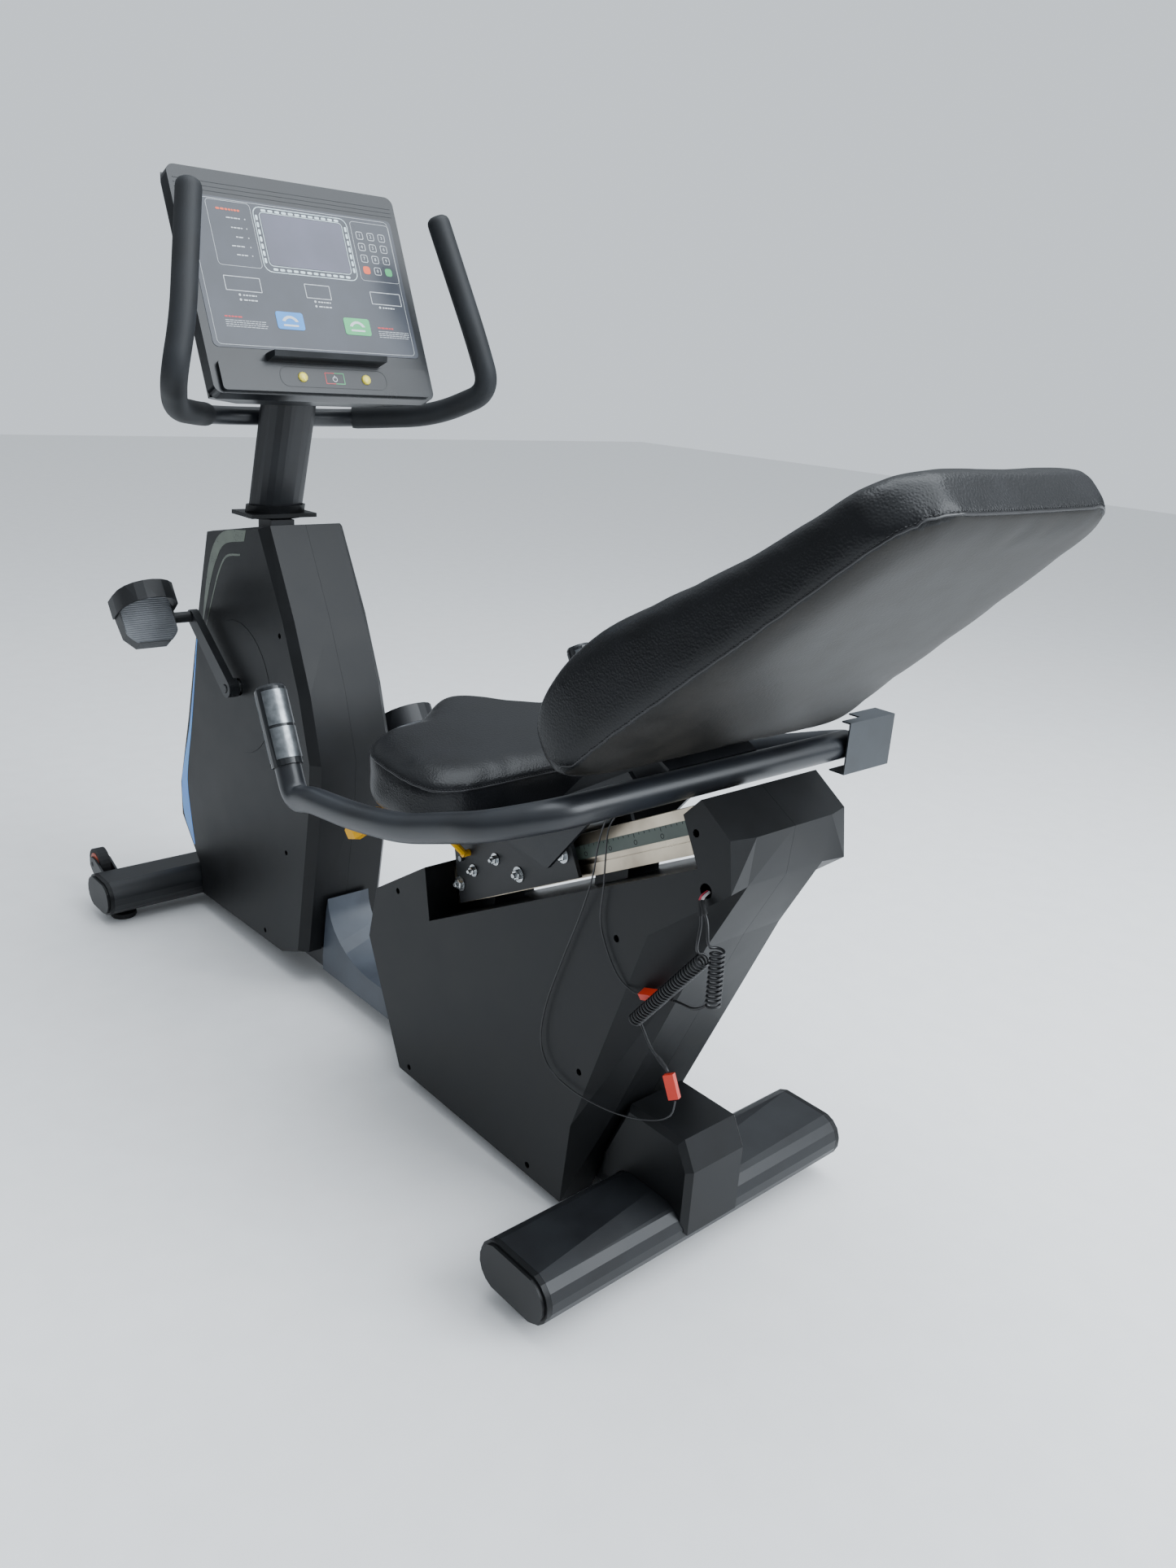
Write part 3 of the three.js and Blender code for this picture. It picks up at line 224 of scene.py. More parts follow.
def piece(name, parts, material, body, smooth=30, bevel=0, subdivide=0):
    """One object from several (points, faces) parts: faces turned outwards, finish and body set."""
    points, faces, base = [], [], 0
    for p, f in parts:
        points.append(p)
        faces += [[base + i for i in face] for face in f]
        base += len(p)
    mesh = bpy.data.meshes.new(name)
    mesh.from_pydata(np.vstack(points).tolist(), [], faces)
    obj = bpy.data.objects.new(name, mesh)
    bpy.context.scene.collection.objects.link(obj)
    bpy.context.view_layer.objects.active = obj
    obj.select_set(True)
    bpy.ops.object.mode_set(mode="EDIT")
    bpy.ops.mesh.select_all(action="SELECT")
    bpy.ops.mesh.normals_make_consistent(inside=False)
    bpy.ops.object.mode_set(mode="OBJECT")
    mesh.materials.append(material)
    if smooth:
        mesh.shade_smooth()
        mesh.set_sharp_from_angle(angle=math.radians(smooth))
    if bevel:
        rounding = obj.modifiers.new("rounding", "BEVEL")
        rounding.width = bevel * MM
        rounding.segments = 2
    if subdivide:
        levels = obj.modifiers.new("fine", "SUBSURF")
        levels.levels = levels.render_levels = subdivide
    obj.select_set(False)
    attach(obj, body)
    return obj


# ---- finishes -----------------------------------------------------------------------------
def linear(hex_colour):
    """An sRGB hex colour as linear RGBA."""
    value = hex_colour.lstrip("#")
    srgb = [int(value[i:i + 2], 16) / 255 for i in (0, 2, 4)]
    return tuple(c / 12.92 if c <= 0.04045 else ((c + 0.055) / 1.055) ** 2.4 for c in srgb) + (1.0,)


def add(tree, kind, settings=None, inputs=None, links=None):
    """Adds a node, sets its properties and inputs, and links {input: output socket}."""
    node = tree.nodes.new(kind)
    for key, value in (settings or {}).items():
        setattr(node, key, value)
    sockets = {item.name: item for item in node.inputs if item.enabled}
    for key, value in (inputs or {}).items():
        sockets[key].default_value = value
    for key, value in (links or {}).items():
        tree.links.new(value, sockets[key])
    return node


def colour_of(node):
    """The one output of a mixing node that is in use."""
    return next(item for item in node.outputs if item.enabled)


def finish(name, colour, other=None, rough=0.5, metal=0.0, grain=1.0, depth=0.2, pattern="noise", stretch=(1, 1, 1),
           turn=0.0, patch=60.0, rough_spread=0.06, coat=0.0, sheen=0.0, gloss=0.5, wear=None):
    """A surface: two colours mixed by slow blotches of patch mm, rare worn specks, and a bump of grain mm size."""
    material = bpy.data.materials.new(name)
    material.use_nodes = True
    tree = material.node_tree
    shader = tree.nodes["Principled BSDF"]
    coords = add(tree, "ShaderNodeTexCoord").outputs["Object"]
    if turn:
        coords = add(tree, "ShaderNodeMapping", inputs={"Rotation": (0, turn, 0)},
                     links={"Vector": coords}).outputs["Vector"]
    blotch = add(tree, "ShaderNodeTexNoise", inputs={"Scale": 1000 / patch, "Detail": 3.0}, links={"Vector": coords})
    ramp = add(tree, "ShaderNodeMapRange", inputs={"From Min": 0.35, "From Max": 0.65},
               links={"Value": blotch.outputs["Fac"]})
    mix = add(tree, "ShaderNodeMix", {"data_type": "RGBA"}, {"A": linear(colour), "B": linear(other or colour)},
              {"Factor": ramp.outputs["Result"]})
    surface_colour = colour_of(mix)
    if wear:
        specks = add(tree, "ShaderNodeTexNoise", inputs={"Scale": 70.0, "Detail": 9.0, "Roughness": 0.75},
                     links={"Vector": coords})
        rare = add(tree, "ShaderNodeMapRange", inputs={"From Min": 0.70, "From Max": 0.76},
                   links={"Value": specks.outputs["Fac"]})
        surface_colour = add(tree, "ShaderNodeMix", {"data_type": "RGBA"}, {"B": linear(wear)},
                             {"Factor": rare.outputs["Result"], "A": surface_colour})
        surface_colour = colour_of(surface_colour)
    tree.links.new(surface_colour, shader.inputs["Base Color"])
    roughness = add(tree, "ShaderNodeMapRange", inputs={"To Min": rough - rough_spread, "To Max": rough + rough_spread},
                    links={"Value": blotch.outputs["Fac"]})
    tree.links.new(roughness.outputs["Result"], shader.inputs["Roughness"])
    if depth:
        stretched = add(tree, "ShaderNodeMapping", inputs={"Scale": stretch}, links={"Vector": coords})
        if pattern == "pebble":
            texture = add(tree, "ShaderNodeTexVoronoi", {"feature": "SMOOTH_F1"}, {"Scale": 1000 / grain},
                          {"Vector": stretched.outputs["Vector"]})
            height = texture.outputs["Distance"]
        else:
            texture = add(tree, "ShaderNodeTexNoise", inputs={"Scale": 1000 / grain, "Detail": 2.0},
                          links={"Vector": stretched.outputs["Vector"]})
            height = texture.outputs["Fac"]
        bump = add(tree, "ShaderNodeBump", inputs={"Strength": depth, "Distance": 0.0006}, links={"Height": height})
        tree.links.new(bump.outputs["Normal"], shader.inputs["Normal"])
    shader.inputs["Metallic"].default_value = metal
    if not metal:
        shader.inputs["Specular IOR Level"].default_value = gloss
    shader.inputs["Coat Weight"].default_value = coat
    shader.inputs["Sheen Weight"].default_value = sheen
    return material


FINISHES = {}


def make_finishes(colours):
    """Every finish, named for the real material and the way its surface was made."""
    table = {
        # Textured powder coat: an even dark satin with a fine orange peel, worn bright in a few specks.
        "powder_coat": dict(colour=colours.paint, other="#1a1c1f", rough=0.42, grain=1.6, depth=0.16, gloss=0.42,
                            wear="#6f6e6b"),
        # Smooth powder coat on bent tube: slightly blue grey, a softer shine and a few scuffs.
        "tube_coat": dict(colour="#1a1c20", other="#212429", rough=0.36, grain=1.2, depth=0.08, gloss=0.5,
                          wear="#7d7b77"),
        # Injection moulded ABS with a spark-eroded texture: near black, soft highlights.
        "moulded_abs": dict(colour=colours.cover, other="#131416", rough=0.44, grain=1.0, depth=0.1, gloss=0.26),
        # Smoother moulded ABS on the console: a tighter highlight.
        "console_abs": dict(colour="#101215", other="#16191d", rough=0.3, grain=0.9, depth=0.05, gloss=0.5),
        # Dyed grey ABS: a lighter blue-grey scoop over the beam.
        "grey_abs": dict(colour="#363c45", other="#434a54", rough=0.4, grain=1.0, depth=0.1),
        # Pebbled PVC upholstery: rounded 2.2 mm pebbles catch small highlights.
        "pebbled_vinyl": dict(colour=colours.vinyl, other="#101114", rough=0.36, grain=2.2, depth=0.55,
                              pattern="pebble", gloss=0.3),
        # Flat PVC on the back of the board: brown grey, stretched and smoother.
        "back_vinyl": dict(colour="#171614", other="#211f1c", rough=0.5, grain=3.0, depth=0.3, patch=35, gloss=0.26),
        # Closed-cell EVA foam: matt with open pores.
        "eva_foam": dict(colour="#121417", other="#1a1d21", rough=0.62, grain=1.4, depth=0.3, gloss=0.45),
        # Satin anodised aluminium: warm reflections drawn out along the rail.
        "anodised_rail": dict(colour="#c9bda9", other="#a89c8b", rough=0.3, metal=1.0, grain=1.5, depth=0.12,
                              stretch=(0.02, 1, 1), turn=RAIL_TILT),
        # Bright zinc plate on the fasteners.
        "zinc_plate": dict(colour="#d4d6d6", other="#a9adb0", rough=0.28, metal=1.0, grain=1.0, depth=0.08, patch=8),
        # Ground and lacquered steel of axle and rollers.
        "ground_steel": dict(colour="#9a9c9e", other="#808386", rough=0.32, metal=1.0, grain=0.8, depth=0.1),
        # Cast iron; its machined rim is not drawn apart from the rest.
        "cast_iron": dict(colour="#4a4c4f", other="#5a5c5f", rough=0.5, metal=1.0, grain=2.0, depth=0.2),
        # Stainless contact plate: bright with soft brushing.
        "stainless_plate": dict(colour="#8f9396", other="#6f7376", rough=0.3, metal=1.0, grain=0.8, depth=0.1, patch=12),
        "soft_rubber": dict(colour="#131314", other="#1c1c1e", rough=0.78, grain=1.2, depth=0.15),
        # Moulded strap rubber: satin and thick.
        "strap_rubber": dict(colour="#101113", other="#18191c", rough=0.46, grain=1.0, depth=0.1),
        "tread_nylon": dict(colour="#54575b", other="#6d7074", rough=0.42, grain=1.0, depth=0.1),
        "pedal_nylon": dict(colour="#141517", other="#1b1d1f", rough=0.45, grain=1.0, depth=0.12),
        # Polyester overlay film: slate grey, smooth, faint gloss.
        "overlay_film": dict(colour=colours.film, other="#3a3e47", rough=0.3, grain=0.8, depth=0.03),
        "screen_window": dict(colour="#4e4f5d", other="#585869", rough=0.16, depth=0, patch=90),
        "print_white": dict(colour="#c6cbce", rough=0.45, depth=0),
        "print_pale": dict(colour="#b9cdd2", other="#d8e6ea", rough=0.4, depth=0, patch=6),
        "print_orange": dict(colour="#e2582e", rough=0.45, depth=0),
        "print_red": dict(colour="#c8343a", rough=0.45, depth=0),
        "print_blue": dict(colour="#2f86cf", other="#3b93dc", rough=0.4, depth=0),
        "print_green": dict(colour="#3fa466", other="#4bb574", rough=0.4, depth=0),
        "print_black": dict(colour="#101112", rough=0.5, depth=0),
        "button_yellow": dict(colour="#e9dc62", other="#dfcf48", rough=0.3, grain=1, depth=0.03, coat=0.3),
        "lever_yellow": dict(colour="#f0b400", other="#e3a600", rough=0.34, grain=1.2, depth=0.08),
        "ruler_label": dict(colour="#56625a", other="#627066", rough=0.4, depth=0.03),
        "stripe_blue": dict(colour=colours.stripe, other="#3a9be8", rough=0.3, depth=0.02, coat=0.3),
        "swoosh_grey": dict(colour="#465043", other="#5b6557", rough=0.28, depth=0.02, patch=40),
        "cord_pvc": dict(colour="#0e0e10", other="#18181b", rough=0.34, grain=0.8, depth=0.05),
        "connector_red": dict(colour="#d8361f", other="#c92c18", rough=0.38, grain=0.8, depth=0.08),
        "wire_white": dict(colour="#e3dcdc", rough=0.4, depth=0),
        "wire_red": dict(colour="#d4475a", rough=0.4, depth=0),
        # Painted shade: a matt near-black that stands for the shade inside recesses, not for a material of the bike.
        "painted_recess_shade": dict(colour="#050505", rough=0.8, depth=0.1),
        "hub_orange": dict(colour="#8f3520", other="#a8452b", rough=0.45, grain=1.0, depth=0.1),
        "guard_coat": dict(colour="#2c3034", other="#363b40", rough=0.45, grain=1.2, depth=0.08),
    }
    for name, values in table.items():
        FINISHES[name] = finish(name, **values)


NODE_FINISH = {
    "powder_coat": ["rear_stabilizer", "front_stabilizer", "main_frame", "mast", "seat_carriage", "crank_left",
                    "crank_right"],
    "tube_coat": ["side_handle", "handlebar"],
    "moulded_abs": ["end_cap_rear_left", "end_cap_rear_right", "end_cap_front_left", "end_cap_front_right",
                    "rear_shroud_left", "rear_shroud_right", "rear_block_cover", "front_shroud_left",
                    "front_shroud_right", "crank_disc_left", "crank_disc_right", "mast_collar"],
    "grey_abs": ["beam_cover"],
    "console_abs": ["console_front", "console_back", "pulse_grip_left", "pulse_grip_right"],
    "overlay_film": ["display_panel"],
    "button_yellow": ["key_left", "key_right"],
    "lever_yellow": ["seat_lever"],
    "eva_foam": ["foam_grip_left", "foam_grip_right"],
    "ground_steel": ["crank_axle", "roller_front", "roller_rear"],
    "cast_iron": ["flywheel"],
    "anodised_rail": ["seat_rail"],
    "soft_rubber": ["foot_rear_left", "foot_rear_right", "foot_front_left", "foot_front_right", "drive_belt",
                    "transport_wheel_left", "transport_wheel_right"],
    "strap_rubber": ["pedal_strap_left", "pedal_strap_right"],
    "pedal_nylon": ["pedal_left", "pedal_right"],
    "guard_coat": ["tube_guard"],
    "connector_red": ["plug_a", "plug_b"],
}


# ---- cords --------------------------------------------------------------------------------
COIL_A = [[-102, 111, 491], [-5, 111, 367]]
COIL_B = [[-123, 114, 512], [-125, 114, 443]]
LEAD_A = [[-84, 92, 563], [-85, 106, 556], [-92, 111, 532], [-100, 111, 506], [-103, 111, 494.5]]
LEAD_B = [[-84, 92, 563], [-87, 107, 557], [-102, 113, 540], [-118, 114, 525], [-123, 114, 513.2]]
TAIL_A = [[-4, 111, 365.2], [-5, 111, 356], [-17, 110, 348], [-38, 108, 338], [-56, 107, 328],
          [-62.6, 107, 323.4]]
TAIL_B = [[-125, 114, 441.8], [-124, 111, 432], [-108, 104, 420], [-76, 97, 413], [-46, 95, 409],
          [-28.6, 96, 405.8]]
SEAT_WIRE_A = [[10, 150, 638], [26, 144, 621], [46, 131, 597], [62, 116, 560], [71, 107, 513], [74, 105, 467],
               [60, 104, 432], [36, 104, 405], [14, 100, 394], [2.4, 96.4, 394.6]]
SEAT_WIRE_B = [[18, 157, 638], [36, 148, 612], [60, 132, 574], [82, 116, 524], [108, 107, 462], [138, 106, 384],
               [163, 106, 310], [170, 106, 252], [150, 106, 219], [106, 106, 209], [48, 106, 214], [-4, 107, 228],
               [-50, 107, 249], [-74, 107, 270], [-78.5, 107, 292.5]]
COIL_MEAN = 7.6          # millimetres, radius of the winding's centre line
TURN_POINTS = 14


def joined(start, start_way, end, end_way, count=18):
    """A cubic Hermite run between two points that leaves and arrives along the given directions."""
    reach = np.linalg.norm(end - start)
    f = np.linspace(0, 1, count)[:, None]
    return ((2 * f ** 3 - 3 * f ** 2 + 1) * start + (f ** 3 - 2 * f ** 2 + f) * start_way * reach
            + (3 * f ** 2 - 2 * f ** 3) * end + (f ** 3 - f ** 2) * end_way * reach)


def coiled(lead, coil, tail, pitch):
    """One line: the lead, a helix c(s) + R(cos a n + sin a b) that it joins without a kink, and the tail."""
    start, end = np.array(coil[0], float), np.array(coil[1], float)
    axis = end - start
    reach = np.linalg.norm(axis)
    axis /= reach
    n = np.cross(axis, [0, 1, 0])
    n /= np.linalg.norm(n)
    b = np.cross(axis, n)
    turns = int(reach / pitch)
    s = np.linspace(0, 1, turns * TURN_POINTS + 1)
    a = s * turns * FULL_TURN
    helix = start + s[:, None] * reach * axis + COIL_MEAN * (np.cos(a)[:, None] * n + np.sin(a)[:, None] * b)
    first, last = smooth_line(lead, 16), smooth_line(tail, 16)
    ways = [line[-1] - line[-2] for line in (first, helix[1::-1], helix, last[1::-1])]
    out_way, in_way, leave_way, tail_way = (way / np.linalg.norm(way) for way in ways)
    before = joined(first[-1], out_way, helix[0], -in_way)
    after = joined(helix[-1], leave_way, last[0], -tail_way)
    return place(np.vstack([first, before[1:-1], helix, after[1:-1], last]))


def curve_cord(name, path, diameter, material):
    """A round cord as one open poly spline with a bevel."""
    data = bpy.data.curves.new(name, "CURVE")
    data.dimensions = "3D"
    data.bevel_depth = diameter / 2
    data.bevel_resolution = 2
    data.use_fill_caps = True
    line = data.splines.new("POLY")
    line.points.add(len(path) - 1)
    line.points.foreach_set("co", np.column_stack([path, np.ones(len(path))]).ravel())
    obj = bpy.data.objects.new(name, data)
    bpy.context.scene.collection.objects.link(obj)
    data.materials.append(material)
    return obj


class BIKE_OT_cords(bpy.types.Operator):
    """Two curly cords, the two thin seat leads and the sleeves on the curly cords; the red plugs are not made here"""
    bl_idname = "bike.cords"
    bl_label = "Cords and plugs"

    def execute(self, context):
        sizes = context.scene.bike
        pvc = FINISHES["cord_pvc"]
        runs = {"curly_cord_a": (LEAD_A, COIL_A, TAIL_A, ["coil_leads", "coil_cord_a", "coil_tail_a"], "plug_a"),
                "curly_cord_b": (LEAD_B, COIL_B, TAIL_B, ["coil_cord_b", "coil_tail_b"], "plug_b")}
        for name, (lead, coil, tail, nodes, plug) in runs.items():
            path = coiled(lead[:3], coil, tail[3:], sizes.coil_pitch / MM)
            obj = curve_cord(name, path, sizes.coil_wire, pvc)
            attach(obj, "root")
            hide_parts(*nodes)
            sleeves = self.sleeves(name, path)
        for name, route, node in (("seat_lead_a", SEAT_WIRE_A, "seat_wire_a"), ("seat_lead_b", SEAT_WIRE_B, "seat_wire_b")):
            path = even(place(smooth_line(route[::-1], 160)), 90)
            obj = piece(name, [tube(path, sizes.lead_wire / MM / 2, 10)], pvc, "root")
            obj.parent = None
            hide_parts(node)
            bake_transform(obj)
        return {"FINISHED"}

    @staticmethod
    def sleeves(name, path):
        """Shrink sleeves over both ends of the cord, with bare red and white wires above the upper one."""
        made = [piece(name + "_sleeve_top", [tube(stretch(path, 18, 34), 2.9, 12)], FINISHES["soft_rubber"], "root"),
                piece(name + "_sleeve_end", [tube(stretch(path[::-1], 5, 22), 2.7, 12)], FINISHES["soft_rubber"],
                      "root")]
        for colour, offset in (("white", -1.1), ("red", 1.1)):
            shift = np.array([offset, 0.6, 0]) * MM
            made.append(piece(f"{name}_{colour}_core", [tube(stretch(path, 2, 17) + shift, 1.75, 8)],
                              FINISHES["wire_" + colour], "root"))
        return made


# ---- bars ---------------------------------------------------------------------------------
HANDLE_ARM = [[577, 280, 661], [498, 285, 523], [450, 289, 540], [330, 297, 557], [210, 303, 582], [60, 300, 634],
              [0, 250, 658], [0, 180, 658]]
BAR_ARM = [[916, 212, 1314], [856, 256, 1130], [842, 280, 1048], [944, 236, 1000]]
BAR_HEIGHT = 984
MAST_BAR_X = 1078.4      # millimetres, ahead of the mast, where the bar's clamp is measured from


def bent(arm, bend, end_cut=0.0):
    """A bar's centre line, mirrored to the right: straight runs joined by curves of (1-f)^2 a + 2f(1-f) c + f^2 b."""
    arm = np.array(arm, float)
    arm[0] += (arm[1] - arm[0]) / np.linalg.norm(arm[1] - arm[0]) * end_cut
    corners = np.vstack([arm, arm[::-1] * [1, -1, 1]])
    f = np.linspace(0, 1, 13)[:, None]
    line = [corners[:1]]
    for before, corner, after in zip(corners, corners[1:], corners[2:]):
        reach = min(bend, 0.45 * np.linalg.norm(before - corner), 0.45 * np.linalg.norm(after - corner))
        a = corner + (before - corner) / np.linalg.norm(before - corner) * reach
        b = corner + (after - corner) / np.linalg.norm(after - corner) * reach
        line.append((1 - f) ** 2 * a + 2 * f * (1 - f) * corner + f ** 2 * b)
    line.append(corners[-1:])
    return place(np.vstack(line))


class BIKE_OT_bars(bpy.types.Operator):
    """Smooth side handle tube, front bar and its foam sleeves with rounded ends"""
    bl_idname = "bike.bars"
    bl_label = "Bars and sleeves"

    def execute(self, context):
        handle = piece("side_handle_tube", [tube(even(bent(HANDLE_ARM, 40, 4), 260), 18, 32)], FINISHES["tube_coat"],
                       "seat")
        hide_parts("side_handle")
        arm = BAR_ARM + [[MAST_BAR_X - 10, 130, BAR_HEIGHT]]
        clamp = slab(LEFT_FACE, rounded(MAST_BAR_X - 20, MAST_BAR_X - 2, BAR_HEIGHT - 20, BAR_HEIGHT + 20, 3), -24, 24)
        core = piece("front_bar_tube", [tube(even(bent(arm, 60, 5), 200), 15, 24), clamp], FINISHES["tube_coat"],
                     "root")
        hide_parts("handlebar")
        whole = even(bent(arm, 60), 400)
        for name, run in (("left", whole[:160]), ("right", whole[:-161:-1])):
            radius = np.full(len(run), 18.8)
            radius[:4] = [12, 16.4, 18, 18.6]
            radius[-3:] = [18.6, 18.2, 17.4]
            sleeve = piece("foam_sleeve_" + name, [tube(run, radius, 32)], FINISHES["eva_foam"], "root", smooth=60)
            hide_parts("foam_grip_" + name)
        return {"FINISHED"}


# ---- upholstery ---------------------------------------------------------------------------
SEAT_SLOPE = 0.1
SEAT_HALF = [[276, 120], [280, 175], [296, 205], [330, 219], [370, 222], [411, 222], [440, 212], [464, 190],
             [478, 162], [486, 117], [512, 77], [540, 44], [556, 20]]
SEAT_LAYERS = [(0.93, 515, 0), (0.975, 517, 1), (0.99, 530, 2), (0.985, 556, 2), (0.992, 576, 2), (0.985, 584, 1),
               (0.96, 590, 1), (0.88, 597, 0), (0.7, 600.5, 0), (0.4, 602, 0), (0.05, 602.5, 0)]
BACK_TILT = math.radians(42.8)
BACK_FOOT = (-13, 700)
BACK_SECTIONS = [[-48, 232, 34, 56], [-32, 247, 6, 88], [0, 250, 0, 106], [40, 248, 0, 119], [100, 240, 0, 120],
                 [190, 228, 0, 101], [290, 212, 0, 80], [412, 192, 0, 67], [438, 170, 0, 63], [454, 138, 4, 52]]


def seat_ring(share, height, count=150):
    """The seat's outline, shrunk towards its middle by share, at a height that climbs slowly to the front."""
    half = np.array(SEAT_HALF, float)
    ring = np.vstack([half, [[562, 0]], half[::-1] * [1, -1]])
    line = smooth_line(ring, count, closed=True)
    x = 400 + (line[:, 0] - 400) * share
    return np.column_stack([x, line[:, 1] * share, height + SEAT_SLOPE * (x - 300)])


def seat_surface():
    """Rings of the outline stacked from the base board over the rolled edge to the crown."""
    return np.array([seat_ring(share, height) for share, height, _ in SEAT_LAYERS])


def back_point(s, y, t):
    """Board length s, width y and thickness t of the backrest as X, Y, Z millimetres."""
    return np.stack([BACK_FOOT[0] - s * math.cos(BACK_TILT) + t * math.sin(BACK_TILT), y,
                     BACK_FOOT[1] + s * math.sin(BACK_TILT) + t * math.cos(BACK_TILT)], -1)


def back_surface(rows=70, count=96):
    """Sections along the board, each a rounded box with a softly crowned front, as smooth blends of the key sections."""
    key = np.array(BACK_SECTIONS, float)
    s = np.concatenate([np.linspace(-48, 0, 14)[:-1], np.linspace(0, 412, rows - 26), np.linspace(412, 454, 14)[1:]])
    half, low, high = (np.interp(s, key[:, 0], key[:, k]) for k in (1, 2, 3))
    kernel = np.array([1, 2, 1]) / 4
    for values in (half, high):
        for _ in range(6):
            values[1:-1] = np.convolve(values, kernel, "valid")
    a = np.linspace(0, FULL_TURN, count, endpoint=False)
    power = 2 / 7
    cy = np.sign(np.cos(a)) * np.abs(np.cos(a)) ** power
    ct = np.sign(np.sin(a)) * np.abs(np.sin(a)) ** power
    inset = 2.0
    y = (half[:, None] - inset) * cy[None]
    mid, depth = (low + high)[:, None] / 2, (high - low)[:, None] / 2
    crown = np.where(ct > 0, 1 + 0.03 * (1 - cy ** 2), 1)[None]
    t = mid + (depth - inset * 0.5) * ct[None] * crown
    return back_point(np.broadcast_to(s[:, None], y.shape), y, np.maximum(t, low[:, None] + 0.5))


def puff(obj, voxel, pressure, cap, frames_run=20):
    """Swells a closed cushion: remesh, cloth with inner pressure and no gravity, moves capped at cap mm, one subdivision."""
    scene = bpy.context.scene
    bpy.context.view_layer.objects.active = obj
    remesh = obj.modifiers.new("voxels", "REMESH")
    remesh.mode = "VOXEL"
    remesh.voxel_size = voxel * MM
    bpy.ops.object.modifier_apply(modifier=remesh.name)
    mesh = obj.data
    rest = np.empty(len(mesh.vertices) * 3)
    mesh.vertices.foreach_get("co", rest)
    rest = rest.reshape(-1, 3)
    cloth = obj.modifiers.new("cover", "CLOTH")
    cloth.settings.use_pressure = True
    cloth.settings.uniform_pressure_force = pressure
    cloth.settings.effector_weights.gravity = 0
    cloth.settings.quality = 4
    cloth.point_cache.frame_start, cloth.point_cache.frame_end = 1, frames_run
    for number in range(1, frames_run + 1):
        scene.frame_set(number)
    graph = bpy.context.evaluated_depsgraph_get()
    swollen = obj.evaluated_get(graph).to_mesh()
    moved = np.empty(len(swollen.vertices) * 3)
    swollen.vertices.foreach_get("co", moved)
    moved = moved.reshape(-1, 3) - rest
    obj.evaluated_get(graph).to_mesh_clear()
    obj.modifiers.remove(cloth)
    far = np.linalg.norm(moved, axis=1, keepdims=True)
    moved *= np.minimum(1, cap * MM / np.maximum(far, 1e-9))
    mesh.vertices.foreach_set("co", (rest + moved).ravel())
    mesh.update()
    scene.frame_set(1)
    relax = obj.modifiers.new("relax", "SMOOTH")
    relax.factor, relax.iterations = 0.5, 6
    bpy.ops.object.modifier_apply(modifier=relax.name)
    fine = obj.modifiers.new("fine", "SUBSURF")
    fine.levels = fine.render_levels = 1
    bpy.ops.object.modifier_apply(modifier=fine.name)
    mesh.shade_smooth()


def on_skin(obj, path, lift):
    """The nearest points on a cushion's skin to a path in the frame, moved out by lift mm."""
    tree = BVHTree.FromObject(obj, bpy.context.evaluated_depsgraph_get())
    found = [tree.find_nearest(Vector(p)) for p in path]
    return np.array([list(place_on + normal * lift * MM) for place_on, normal, _, _ in found])


def seam(name, obj, path, body):
    """A cord-fine welt sunk in the skin with a thread of short stitches beside it."""
    line = on_skin(obj, path, -0.4)
    line = np.vstack([line, line[:1]])
    piece(name + "_welt", [tube(even(line, 360), 1.5, 8)], FINISHES["cord_pvc"], body)
    run = even(line, 1 + 2 * int(length_of(line) / 0.0042))
    thread = [tube(on_skin(obj, run[k:k + 2] + np.array([0, 0, 0.0028]), 0.25), 0.4, 5)
              for k in range(0, len(run) - 1, 2)]
    piece(name + "_thread", thread, FINISHES["strap_rubber"], body)


class BIKE_OT_upholstery(bpy.types.Operator):
    """Seat and backrest cushions, their seams, and the smooth panel behind the backrest"""
    bl_idname = "bike.upholstery"
    bl_label = "Seat and backrest"

    def execute(self, context):
        pressure = context.scene.bike.pressure
        vinyl = FINISHES["pebbled_vinyl"]
        seat = piece("seat_cover", [surface(place(seat_surface()), wrap_v=True, caps=True)], vinyl, "seat")
        back = piece("backrest_cover", [surface(place(back_surface()), wrap_v=True, caps=True)], vinyl, "seat")
        back.data.materials.append(FINISHES["back_vinyl"])
        puff(seat, 6, pressure, 5)
        puff(back, 7, pressure, 4)
        self.panel_faces(back)
        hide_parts("seat_cushion")
        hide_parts("backrest_cushion")
        seam("seat_seam", seat, place(seat_ring(1.0, 583, 260)), "seat")
        seam("backrest_seam", back, place(self.panel_line(260)), "seat")
        return {"FINISHED"}

    @staticmethod
    def panel_line(count):
        """The edge of the board's rear panel, a little inside the sections' half width."""
        key = np.array(BACK_SECTIONS[2:], float)
        right = back_point(key[:, 0], key[:, 1] - 1, np.full(len(key), 1.0))
        foot = back_point(np.array([-24.0]), np.array([225.0]), np.array([8.0]))
        ring = np.vstack([foot, right])
        left = ring[::-1] * [1, -1, 1]
        return smooth_line(np.vstack([ring, left]), count, closed=True)

    @staticmethod
    def panel_faces(back):
        """Gives the faces that look away from the rider, and lie on the board's plane, the smooth back vinyl."""
        mesh = back.data
        count = len(mesh.polygons)
        normal = np.empty(count * 3)
        mesh.polygons.foreach_get("normal", normal)
        outward = np.array([-math.sin(BACK_TILT), 0, -math.cos(BACK_TILT)])
        index = ((normal.reshape(-1, 3) @ outward) > 0.8).astype(np.int32)
        mesh.polygons.foreach_set("material_index", index)
        mesh.update()


# ---- console ------------------------------------------------------------------------------
FILM = 0.6               # millimetres, height of the overlay's face in the console's plane
INK = 0.25               # millimetres, thickness of a printed mark
STRIP = 7.0              # millimetres, height of the control strip's face
KEY_X = (117, 138, 159)
KEY_Y = (100, 81, 61.5, 42)


